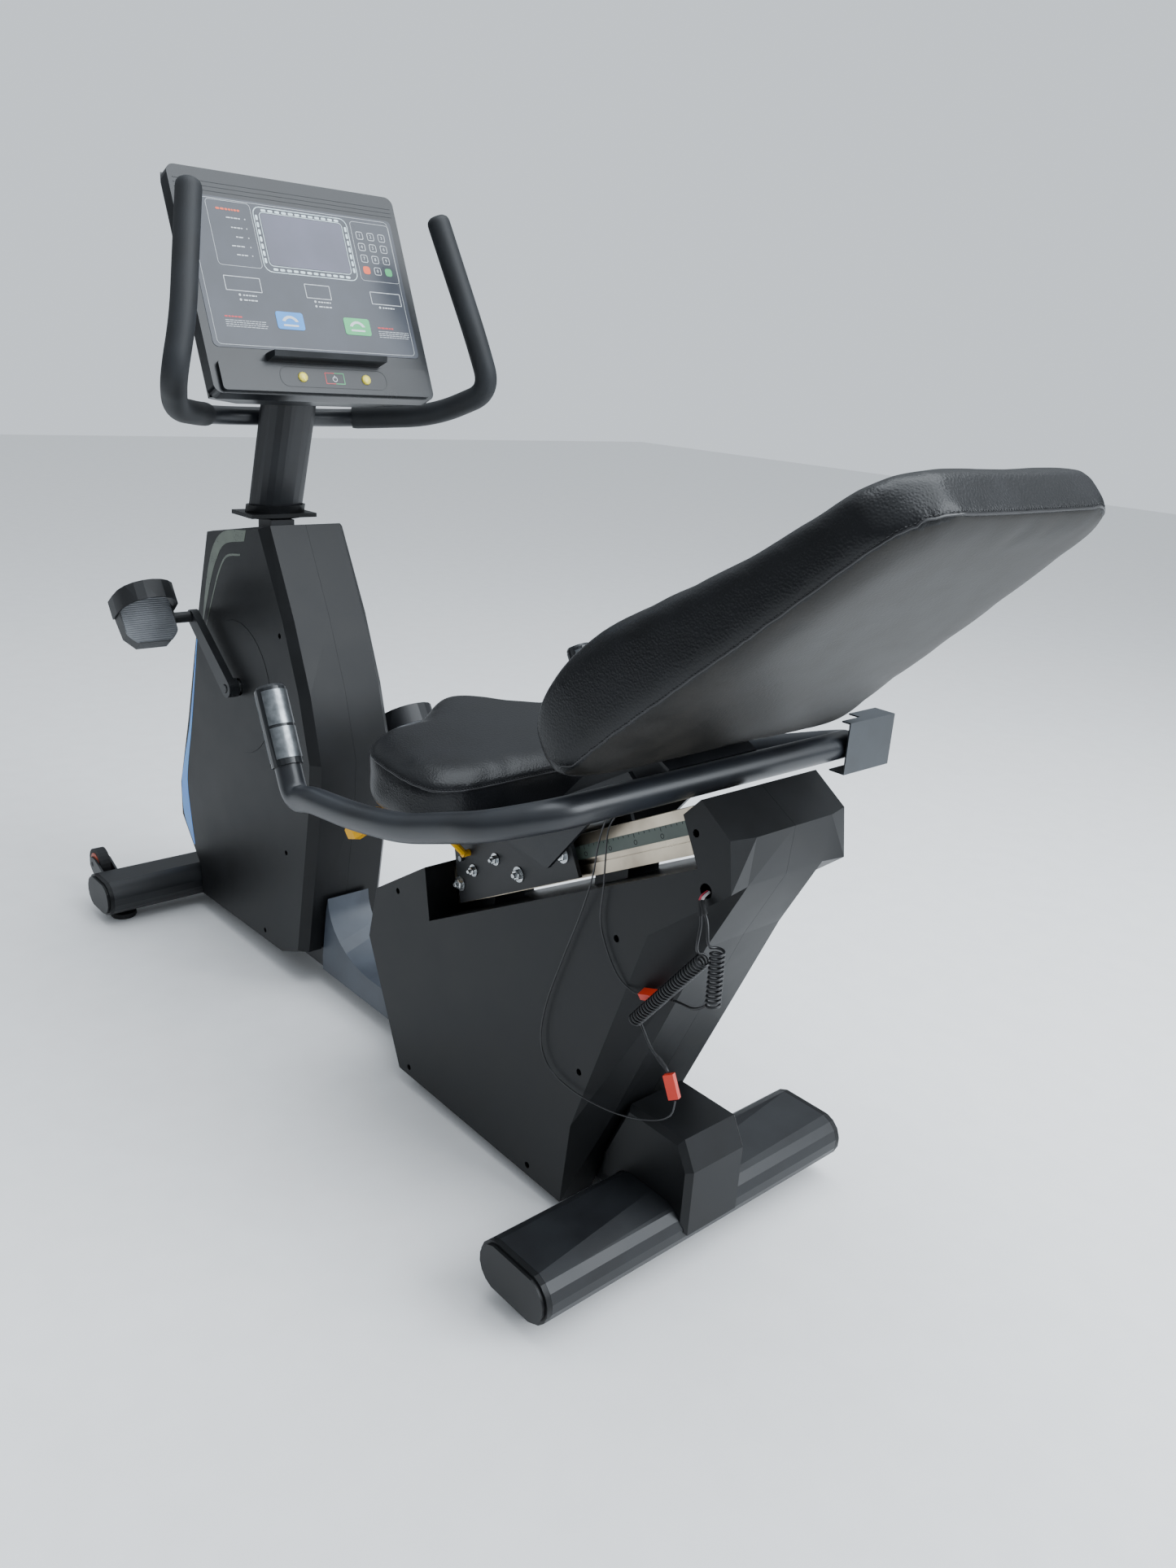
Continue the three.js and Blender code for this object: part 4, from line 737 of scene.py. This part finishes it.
def bars(plane, rows, height, z0, z1):
    """Short printed bars that stand for words: (x0, x1, y) each, height mm tall."""
    return [slab(plane, rounded(x0, x1, y, y + height, height * 0.3, 2), z0, z1) for x0, x1, y in rows]


def words(x0, x1, y, seed):
    """A line of dashes as long as words, between x0 and x1."""
    rng = np.random.default_rng(seed)
    out, x = [], x0
    while x < x1 - 2:
        w = min(rng.uniform(2.5, 7.0), x1 - x)
        out.append((x, x + w, y))
        x += w + 1.1
    return out


def digits():
    """The numbers 0 to 9 as flat meshes standing on their keys."""
    spots = {}
    for k in range(9):
        spots[str(k + 1)] = (KEY_X[k % 3], KEY_Y[k // 3])
    spots["0"] = (KEY_X[1], KEY_Y[3])
    parts = []
    for text, (x, y) in spots.items():
        data = bpy.data.curves.new("digit", "FONT")
        data.body, data.size, data.extrude = text, 7.5 * MM, 0.12 * MM
        data.align_x, data.align_y = "CENTER", "CENTER"
        data.resolution_u = 2
        obj = bpy.data.objects.new("digit", data)
        bpy.context.scene.collection.objects.link(obj)
        bpy.context.view_layer.update()
        mesh = bpy.data.meshes.new_from_object(obj)
        co = np.empty(len(mesh.vertices) * 3)
        mesh.vertices.foreach_get("co", co)
        local = co.reshape(-1, 3) / MM + [x, y, FILM + INK / 2 + 0.1]
        parts.append((CONSOLE(local), [list(p.vertices) for p in mesh.polygons]))
        bpy.data.objects.remove(obj)
        bpy.data.curves.remove(data)
        bpy.data.meshes.remove(mesh)
    return parts


class BIKE_OT_console(bpy.types.Operator):
    """Printed face, screen, keypad, reading ledge details and the control strip of the console"""
    bl_idname = "bike.console"
    bl_label = "Console face"

    def execute(self, context):
        z0, z1 = FILM - 0.05, FILM + INK
        white = [
            frame_line(CONSOLE, -146, -73, 25, 127, 6, 0.5, z0, z1),
            frame_line(CONSOLE, 103, 177, 24, 123, 6, 0.5, z0, z1),
            frame_line(CONSOLE, -143, -83, -14, 9, 1, 1.0, z0, z1),
            frame_line(CONSOLE, -7, 38, -15, 8, 1, 1.0, z0, z1),
            frame_line(CONSOLE, 113, 171, -15, 6, 1, 1.0, z0, z1),
            frame_line(CONSOLE, -176, 176, -99, 129, 7, 0.5, z0, z1),
        ]
        for k, y in enumerate((100, 85, 70.5, 56, 42.5)):
            white += bars(CONSOLE, words(-117 + 5 * (k % 3), -93, y, 10 + k), 1.7, z0, z1)
            white.append(slab(CONSOLE, disc(-86, y + 1.1, 1.0), z0, z1))
        for x, y, n in ((-122, -21, 2), (7, -21, 2), (127, -21, 1)):
            for k in range(n):
                white.append(slab(CONSOLE, disc(x, y - 7.5 * k + 1.2, 1.9), z0, z1))
                white += bars(CONSOLE, words(x + 5, x + 28, y - 7.5 * k, 30 + k), 2.0, z0, z1)
        for x0, x1, seed in ((-155, -86, 50), (114, 172, 60)):
            for k in range(4):
                white += bars(CONSOLE, words(x0, x1, -61 - 3.2 * k, seed + k), 0.8, z0, z1)
        for column, x in enumerate(KEY_X):
            for row, y in enumerate(KEY_Y):
                if row == 3 and column != 1:
                    continue
                white.append(frame_line(CONSOLE, x - 6.5, x + 6.5, y - 6.5, y + 6.5, 3, 0.9, z0, z1))
        piece("print_white_lines", white, FINISHES["print_white"], "root", smooth=0)
        piece("keypad_digits", digits(), FINISHES["print_white"], "root", smooth=0)
        self.screen(z0, z1)
        self.keys(z0, z1)
        self.strip()
        return {"FINISHED"}

    @staticmethod
    def screen(z0, z1):
        """A dark window in a rounded border of pale links between two lines."""
        piece("screen_window", [slab(CONSOLE, rounded(-58, 85, 33, 115, 5), z0, z1)], FINISHES["screen_window"],
              "root", smooth=0)
        piece("screen_edge", [frame_line(CONSOLE, -70, 97, 21, 125, 13, 1.2, z0, z1),
                              frame_line(CONSOLE, -60, 87, 31, 117, 7, 0.9, z0, z1)], FINISHES["print_pale"],
              "root", smooth=0)
        links = [slab(CONSOLE, rounded(x - 4.2, x + 4.2, y - 1.9, y + 1.9, 1.6, 3), z0, z1)
                 for x in np.linspace(-51, 78, 12) for y in (26.2, 119.8)]
        links += [slab(CONSOLE, rounded(x - 1.9, x + 1.9, y - 4.2, y + 4.2, 1.6, 3), z0, z1)
                  for y in np.linspace(39, 107, 7) for x in (-65.2, 92.2)]
        piece("screen_links", links, FINISHES["print_pale"], "root", smooth=0)

    @staticmethod
    def keys(z0, z1):
        """The coloured keys: a blue one, a green one, and the orange and green corners of the keypad."""
        piece("key_blue", [slab(CONSOLE, rounded(-69, -22, -69, -41, 4), z0, z1 + 0.3)], FINISHES["print_blue"], "root",
              smooth=0)
        piece("key_green", [slab(CONSOLE, rounded(51, 99, -70, -42, 4), z0, z1 + 0.3),
                            slab(CONSOLE, rounded(152.5, 165.5, 35.5, 48.5, 4), z0, z1)], FINISHES["print_green"], "root",
              smooth=0)
        arrow = []
        for x in (-45.5, 75):
            arch = np.linspace(0.15 * math.pi, 0.85 * math.pi, 14)
            outer = np.column_stack([x + 16 * np.cos(arch), -63 + 16 * np.sin(arch)])
            inner = np.column_stack([x + 10 * np.cos(arch), -61 + 10 * np.sin(arch)])
            arrow.append(slab(CONSOLE, np.vstack([outer, inner[::-1]]), z0, z1 + 0.5))
            arrow.append(slab(CONSOLE, rounded(x - 13, x + 13, -64, -61, 1), z0, z1 + 0.5))
        piece("key_icons", arrow, FINISHES["print_white"], "root", smooth=0)
        orange = [slab(CONSOLE, rounded(110.5, 123.5, 35.5, 48.5, 4), z0, z1)]
        orange += bars(CONSOLE, words(-131, -92, 112, 5), 3.2, z0, z1)
        piece("print_orange_marks", orange, FINISHES["print_orange"], "root", smooth=0)
        red = bars(CONSOLE, words(-155, -124, -56, 6) + words(114, 146, -56, 7), 2.2, z0, z1)
        piece("print_red_marks", red, FINISHES["print_red"], "root", smooth=0)

    @staticmethod
    def strip():
        """The raised control strip: a rounded recess line, the half red and half green power key and two grooves above."""
        z0, z1 = STRIP - 0.05, STRIP + INK
        line = frame_line(CONSOLE, -88, 104, -163, -131, 14, 0.9, z0, z1)
        piece("strip_line", [line], FINISHES["print_black"], "root", smooth=0)
        x = 8
        for name, side, ink in (("power_red", -1, "print_red"), ("power_green", 1, "print_green")):
            edge = [(x, -138), (x + side * 17, -138), (x + side * 17, -156), (x, -156), (x, -155), (x + side * 16, -155),
                    (x + side * 16, -139), (x, -139)]
            piece(name, [slab(CONSOLE, edge, z0, z1)], FINISHES[ink], "root", smooth=0)
        mark = [band(CONSOLE, disc(x, -148, 4.4), disc(x, -148, 3.4), z0, z1),
                slab(CONSOLE, rounded(x - 0.5, x + 0.5, -147, -141.5, 0.3, 2), z0, z1)]
        piece("power_mark", mark, FINISHES["print_white"], "root", smooth=0)
        ribs = [slab(CONSOLE, rounded(-190, 190, y, y + 1.4, 0.6, 2), -0.1, 0.5) for y in (139, 146, 153)]
        piece("console_ribs", ribs, FINISHES["console_abs"], "root", smooth=0)


# ---- covers and trim ----------------------------------------------------------------------
FRONT_SIDE_Y = 80.0
REAR_SIDE_Y = 100.0


class BIKE_OT_trim(bpy.types.Operator):
    """Printed stripe and swoosh, the ruler on the rail, screws in the covers and the wheel hubs"""
    bl_idname = "bike.trim"
    bl_label = "Trim and fasteners"

    def execute(self, context):
        for name, plane in (("left", LEFT_FACE), ("right", RIGHT_FACE)):
            self.graphics(name, plane)
            self.screws(name, plane)
        for name, plane in (("left", RAIL_LEFT), ("right", RAIL_RIGHT)):
            self.ruler(name, plane)
        self.bolts()
        self.hubs()
        return {"FINISHED"}

    @staticmethod
    def graphics(name, plane):
        """A stripe that widens down the front edge, and a double swoosh that bends over at the top."""
        y = FRONT_SIDE_Y
        edge = smooth_line([(1243, 590), (1292, 402), (1331, 300), (1346, 252), (1341, 186), (1300, 132)], 40)
        inner = smooth_line([(1241, 590), (1284, 402), (1312, 300), (1318, 252), (1308, 190), (1296, 134)], 40)
        piece("stripe_" + name, [slab(plane, np.vstack([edge, inner[::-1]]), y - 0.1, y + 0.25)],
              FINISHES["stripe_blue"], "root", smooth=0)
        outer = smooth_line([(1036, 800), (1120, 786), (1166, 752), (1196, 690), (1222, 600)], 40)
        under = smooth_line([(1044, 780), (1118, 764), (1156, 728), (1184, 680), (1219, 600)], 40)
        thin = smooth_line([(1060, 756), (1112, 746), (1144, 716), (1172, 668), (1212, 590)], 40)
        thinner = smooth_line([(1060, 753), (1111, 742), (1141, 713), (1169, 667), (1211, 590)], 40)
        shapes = [slab(plane, np.vstack([a, b[::-1]]), y - 0.1, y + 0.25) for a, b in ((outer, under), (thin, thinner))]
        piece("swoosh_" + name, shapes, FINISHES["swoosh_grey"], "root", smooth=0)

    @staticmethod
    def screws(name, plane):
        """Cross-head screws at the bottom of the covers' holes."""
        heads = []
        rear = [(527, 330), (49, 450), (98, 236), (488, 40), (190, 36), (-62, 626)]
        front = [(925, 640), (915, 250), (1002, 62)]
        for spots, depth in ((rear, REAR_SIDE_Y - 12), (front, FRONT_SIDE_Y - 12)):
            for x, z in spots:
                base = plane((x, z, depth))
                heads.append(turned([(0.1, 0), (4.4, 0), (4.4, 1.5), (3.2, 3.0), (0.1, 3.4)], base, plane.axes[2], 14))
        piece("cover_screws_" + name, heads, FINISHES["print_black"], "root")

    @staticmethod
    def ruler(name, plane):
        """A label strip along the rail: a tick each 10 mm, a longer one at 50 and a ring beneath it."""
        face = 45.0
        piece("ruler_" + name, [slab(plane, rounded(80, 588, 24, 42, 1, 2), face - 0.1, face + 0.3)],
              FINISHES["ruler_label"], "root", smooth=0)
        ticks = []
        for k in range(50):
            u = 90 + 10 * k
            tall = 6 if k % 5 == 0 else 3.5
            ticks.append(slab(plane, [(u, 42 - tall), (u + 0.9, 42 - tall), (u + 0.9, 41.4), (u, 41.4)], face, face + 0.5))
            if k % 5 == 0:
                ticks.append(band(plane, disc(u + 0.5, 30, 3.2), disc(u + 0.5, 30, 2.3), face, face + 0.5))
        piece("ruler_ticks_" + name, ticks, FINISHES["print_black"], "root", smooth=0)

    @staticmethod
    def bolts():
        """Hexagon bolts with washers on the carriage's plates, both sides."""
        parts = []
        carriage = 60.0
        spots = [(58, 30), (100, 44), (160, 52), (205, 24), (262, 50), (300, 60), (312, 36)]
        for plane in (RAIL_LEFT, RAIL_RIGHT):
            for k, (u, n) in enumerate(spots):
                base = plane((u, n, carriage))
                size = 1.0 if k % 3 else 1.25
                axis = plane.axes[2]
                parts.append(turned([(0.1, 0), (9 * size, 0), (9 * size, 1.6), (0.1, 1.6)], base, axis, 20))
                parts.append(turned([(0.1, 1.5), (6.4 * size, 1.5), (6.4 * size, 6), (5.4 * size, 7), (0.1, 7)], base,
                                    axis, 6))
                parts.append(turned([(0.1, 6.5), (3 * size, 6.5), (3 * size, 11), (2.4 * size, 11.6), (0.1, 11.6)],
                                    base, axis, 12))
        piece("carriage_bolts", parts, FINISHES["zinc_plate"], "seat")
        caps = []
        for side, body, axis in ((1, "crank", (0, 1, 0)), (-1, "crank", (0, -1, 0))):
            base = place((1080, side * 104, 515))
            caps.append(turned([(0.1, 0), (7, 0), (7, 2.6), (5.5, 3.6), (0.1, 3.6)], base, axis, 18))
        piece("crank_bolts", caps, FINISHES["powder_coat"], "crank")

    @staticmethod
    def hubs():
        """Orange hub discs on both faces of the transport wheels, open round the zinc axle end, which is not made here.
        """
        for name, side in (("left", 1), ("right", -1)):
            wheel = place((1412, side * 230, 86))
            parts = []
            for face in (1, -1):
                base = wheel + np.array([0, face * 9.9, 0]) * MM
                parts.append(turned([(6, 0), (22, 0), (22, 0.9), (18, 1.6), (9, 1.6), (6, 1.0)], base, (0, face, 0), 28))
            piece("wheel_hub_" + name, parts, FINISHES["hub_orange"], "transport_wheel_" + name)


# ---- pedals and grips ---------------------------------------------------------------------
CRANK_ANGLE = math.radians(37.6)
PEDAL_TURN = math.radians(90 - 35)


class BIKE_OT_contact_points(bpy.types.Operator):
    """Ribbed pedal treads and the pulse grips' contact plates; the end plugs of the bars are not made here"""
    bl_idname = "bike.contact_points"
    bl_label = "Pedals and grips"

    def execute(self, context):
        for name, side in (("left", 1), ("right", -1)):
            self.tread(name, side)
            self.contacts(name, side)
        return {"FINISHED"}

    @staticmethod
    def tread(name, side):
        """Rows of fine ridges z = h |sin| across the tread, on a plate that follows the pedal's outline."""
        centre = np.array([1080 + side * 170 * math.cos(CRANK_ANGLE), side * 188, 515 + side * 170 * math.sin(CRANK_ANGLE)])
        along = np.array([math.cos(PEDAL_TURN), 0, math.sin(PEDAL_TURN)])
        out = np.array([-math.sin(PEDAL_TURN), 0, math.cos(PEDAL_TURN)])
        across = np.array([0, side, 0])
        plane = Plane(centre, along, across, out)
        x = np.linspace(-46, 46, 185)
        v = np.linspace(-1, 1, 25)
        half = 47 - 16 * np.clip((np.abs(x) - 26) / 20, 0, 1) ** 1.5
        xx, vv = np.broadcast_to(x[:, None], (185, 25)), v[None] * half[:, None]
        top = 13.2 + 1.3 * np.abs(np.sin(xx * math.pi / 4)) + 1.2 * (1 - (vv / 47) ** 2)
        rim = (np.abs(v) > 0.99)[None] | (np.abs(xx) > 45.9)
        height = np.where(rim, 12.6, top)
        upper = np.stack([xx, vv, height], -1)
        lower = np.stack([xx, vv, np.full_like(xx, 12.2)], -1)
        grid = np.concatenate([upper, lower[:, ::-1]], 1)
        piece("tread_" + name, [surface(plane(grid), wrap_v=True, caps=True)], FINISHES["tread_nylon"], "pedal_" + name,
              smooth=40)

    @staticmethod
    def contacts(name, side):
        """Two stainless plates a side, each a part of a cylinder R(cos a, sin a, h) just proud of the grip."""
        top, low = np.array([577, side * 280, 661.0]), np.array([498, side * 285, 523.0])
        axis = (top - low) / np.linalg.norm(top - low)
        u = np.cross(axis, [0, 1, 0])
        u /= np.linalg.norm(u)
        v = np.cross(axis, u)
        parts = []
        for start, end in ((-56, -8), (-103, -60)):
            for middle in (0.0, math.pi):
                h = np.linspace(start, end, 12)[:, None, None]
                a = (middle + np.linspace(-1.05, 1.05, 24))[None, :, None]
                shell = [top + axis * h + r * (np.cos(a) * u + np.sin(a) * v) for r in (21.2, 22.1)]
                grid = np.concatenate([shell[0], shell[1][:, ::-1]], 1)
                parts.append(surface(place(grid), wrap_v=True, caps=True))
        piece("contact_plates_" + name, parts, FINISHES["stainless_plate"], "seat", smooth=50)


# ---- nodes' finishes, stage, panel --------------------------------------------------------
def soft_shading():
    """A node modifier: weld the corners, shade smooth, and keep edges over 25 degrees sharp."""
    tree = bpy.data.node_groups.new("soft_shading", "GeometryNodeTree")
    tree.interface.new_socket("Geometry", in_out="INPUT", socket_type="NodeSocketGeometry")
    tree.interface.new_socket("Geometry", in_out="OUTPUT", socket_type="NodeSocketGeometry")
    shape = add(tree, "NodeGroupInput").outputs[0]
    shape = add(tree, "GeometryNodeMergeByDistance", inputs={"Distance": 1e-5}, links={"Geometry": shape}).outputs[0]
    shape = add(tree, "GeometryNodeRemoveAttribute", inputs={"Name": "custom_normal"},
                links={"Geometry": shape}).outputs[0]
    shape = add(tree, "GeometryNodeSetShadeSmooth", {"domain": "FACE"}, links={"Geometry": shape}).outputs[0]
    angle = add(tree, "GeometryNodeInputMeshEdgeAngle").outputs["Unsigned Angle"]
    sharp = add(tree, "FunctionNodeCompare", {"data_type": "FLOAT", "operation": "GREATER_THAN"},
                {"B": math.radians(25)}, {"A": angle}).outputs["Result"]
    shape = add(tree, "GeometryNodeSetShadeSmooth", {"domain": "EDGE"}, {"Shade Smooth": False},
                {"Geometry": shape, "Selection": sharp}).outputs[0]
    add(tree, "NodeGroupOutput", links={"Geometry": shape})
    return tree


class BIKE_OT_finishes(bpy.types.Operator):
    """Finishes for every node of the frame that stays in view"""
    bl_idname = "bike.finishes"
    bl_label = "Frame finishes"

    def execute(self, context):
        for name, nodes in NODE_FINISH.items():
            for node in nodes:
                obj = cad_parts[node]
                obj.data.materials.clear()
                obj.data.materials.append(FINISHES[name])
        shading = soft_shading()
        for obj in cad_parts.values():
            obj.modifiers.new("soft_shading", "NODES").node_group = shading
        return {"FINISHED"}


class BIKE_OT_stage(bpy.types.Operator):
    """Pale floor, soft lights and the camera behind the rider's left shoulder"""
    bl_idname = "bike.stage"
    bl_label = "Stage"

    def execute(self, context):
        scene = context.scene
        floor_mesh = bpy.data.meshes.new("floor")
        reach = 12.0
        floor_mesh.from_pydata([(-reach, -reach, -0.0005), (reach, -reach, -0.0005), (reach, reach, -0.0005),
                                (-reach, reach, -0.0005)], [], [(0, 1, 2, 3)])
        floor = bpy.data.objects.new("floor", floor_mesh)
        scene.collection.objects.link(floor)
        floor_mesh.materials.append(finish("pale_floor", "#f2f2f2", "#efefef", rough=0.9, depth=0))
        world = bpy.data.worlds.new("studio")
        world.use_nodes = True
        tree = world.node_tree
        background = tree.nodes["Background"]
        background.inputs["Color"].default_value = (0.86, 0.93, 1.0, 1)
        seen = add(tree, "ShaderNodeLightPath").outputs["Is Camera Ray"]
        way = add(tree, "ShaderNodeSeparateXYZ",
                  links={"Vector": add(tree, "ShaderNodeTexCoord").outputs["Generated"]}).outputs["Z"]
        dome = add(tree, "ShaderNodeMapRange", inputs={"To Min": 0.1, "To Max": 1.3}, links={"Value": way})
        strength = add(tree, "ShaderNodeMix", inputs={"B": 1.0}, links={"Factor": seen, "A": dome.outputs["Result"]})
        tree.links.new(colour_of(strength), background.inputs["Strength"])
        scene.world = world
        for name, spot, aim, size, power in (("top", (-0.7, -0.5, 3.4), (0, 0, 0.4), 3.0, 125),
                                             ("rear", (-3.4, -1.6, 2.6), (0.2, 0, 0.6), 2.6, 190)):
            light = bpy.data.lights.new(name, "AREA")
            light.energy, light.size = power, size
            light.color = (0.88, 0.94, 1.0)
            lamp = bpy.data.objects.new(name, light)
            scene.collection.objects.link(lamp)
            lamp.location = spot
            lamp.rotation_euler = (Vector(aim) - Vector(spot)).to_track_quat("-Z", "Y").to_euler()
        self.camera(scene)
        return {"FINISHED"}

    @staticmethod
    def camera(scene):
        yaw, pitch, roll = (math.radians(v) for v in (-42.8, -19.3, 4.0))
        ahead = np.array([math.cos(yaw) * math.cos(pitch), math.sin(yaw) * math.cos(pitch), math.sin(pitch)])
        right = np.cross(ahead, [0, 0, 1])
        right /= np.linalg.norm(right)
        up = np.cross(right, ahead)
        x = math.cos(roll) * right + math.sin(roll) * up
        y = -math.sin(roll) * right + math.cos(roll) * up
        data = bpy.data.cameras.new("camera")
        data.lens = 27.81
        data.sensor_width = 36
        camera = bpy.data.objects.new("camera", data)
        scene.collection.objects.link(camera)
        spot = place((-893.8, 1037.8, 1111.7))
        camera.matrix_world = Matrix([[x[i], y[i], -ahead[i], spot[i]] for i in range(3)] + [[0, 0, 0, 1]])
        scene.camera = camera


class BikeSettings(bpy.types.PropertyGroup):
    """Sizes and colours that a user would change"""
    paint: bpy.props.StringProperty(name="Frame paint", description="sRGB hex of the powder coat", default="#131417")
    cover: bpy.props.StringProperty(name="Covers", description="sRGB hex of the moulded covers", default="#0e0f10")
    vinyl: bpy.props.StringProperty(name="Vinyl", description="sRGB hex of the upholstery", default="#0b0c0e")
    film: bpy.props.StringProperty(name="Overlay film", description="sRGB hex of the console's film", default="#33373f")
    stripe: bpy.props.StringProperty(name="Stripe", description="sRGB hex of the front stripe", default="#1f8cf2")
    coil_wire: bpy.props.FloatProperty(name="Coil wire", description="Diameter of the wire that is wound",
                                       default=0.0034, min=0.001, unit="LENGTH")
    coil_pitch: bpy.props.FloatProperty(name="Coil pitch", description="Distance from turn to turn", default=0.0055,
                                        min=0.002, unit="LENGTH")
    lead_wire: bpy.props.FloatProperty(name="Seat lead", description="Diameter of the two seat leads", default=0.0021,
                                       min=0.0005, unit="LENGTH")
    pressure: bpy.props.FloatProperty(name="Cushion pressure", description="How hard the cushions swell", default=4.0,
                                      min=0.0, max=12.0)


class BIKE_PT_panel(bpy.types.Panel):
    """Lists the operators in the order in which they run"""
    bl_label = "Recumbent bike"
    bl_idname = "BIKE_PT_panel"
    bl_space_type = "VIEW_3D"
    bl_region_type = "UI"
    bl_category = "Bike"

    def draw(self, context):
        for name in BikeSettings.__annotations__:
            self.layout.prop(context.scene.bike, name)
        for operator in OPERATORS:
            self.layout.operator(operator.bl_idname)


OPERATORS = (BIKE_OT_stage, BIKE_OT_cords, BIKE_OT_finishes, BIKE_OT_bars, BIKE_OT_upholstery, BIKE_OT_console, BIKE_OT_trim,
             BIKE_OT_contact_points)
CLASSES = (BikeSettings, BIKE_PT_panel) + OPERATORS


def register():
    for item in CLASSES:
        bpy.utils.register_class(item)
    bpy.types.Scene.bike = bpy.props.PointerProperty(type=BikeSettings)


def unregister():
    del bpy.types.Scene.bike
    for item in reversed(CLASSES):
        bpy.utils.unregister_class(item)


def main():
    register()
    make_finishes(bpy.context.scene.bike)
    for operator in OPERATORS:
        group, name = operator.bl_idname.split(".")
        getattr(getattr(bpy.ops, group), name)()


if __name__ == "__main__":
    main()
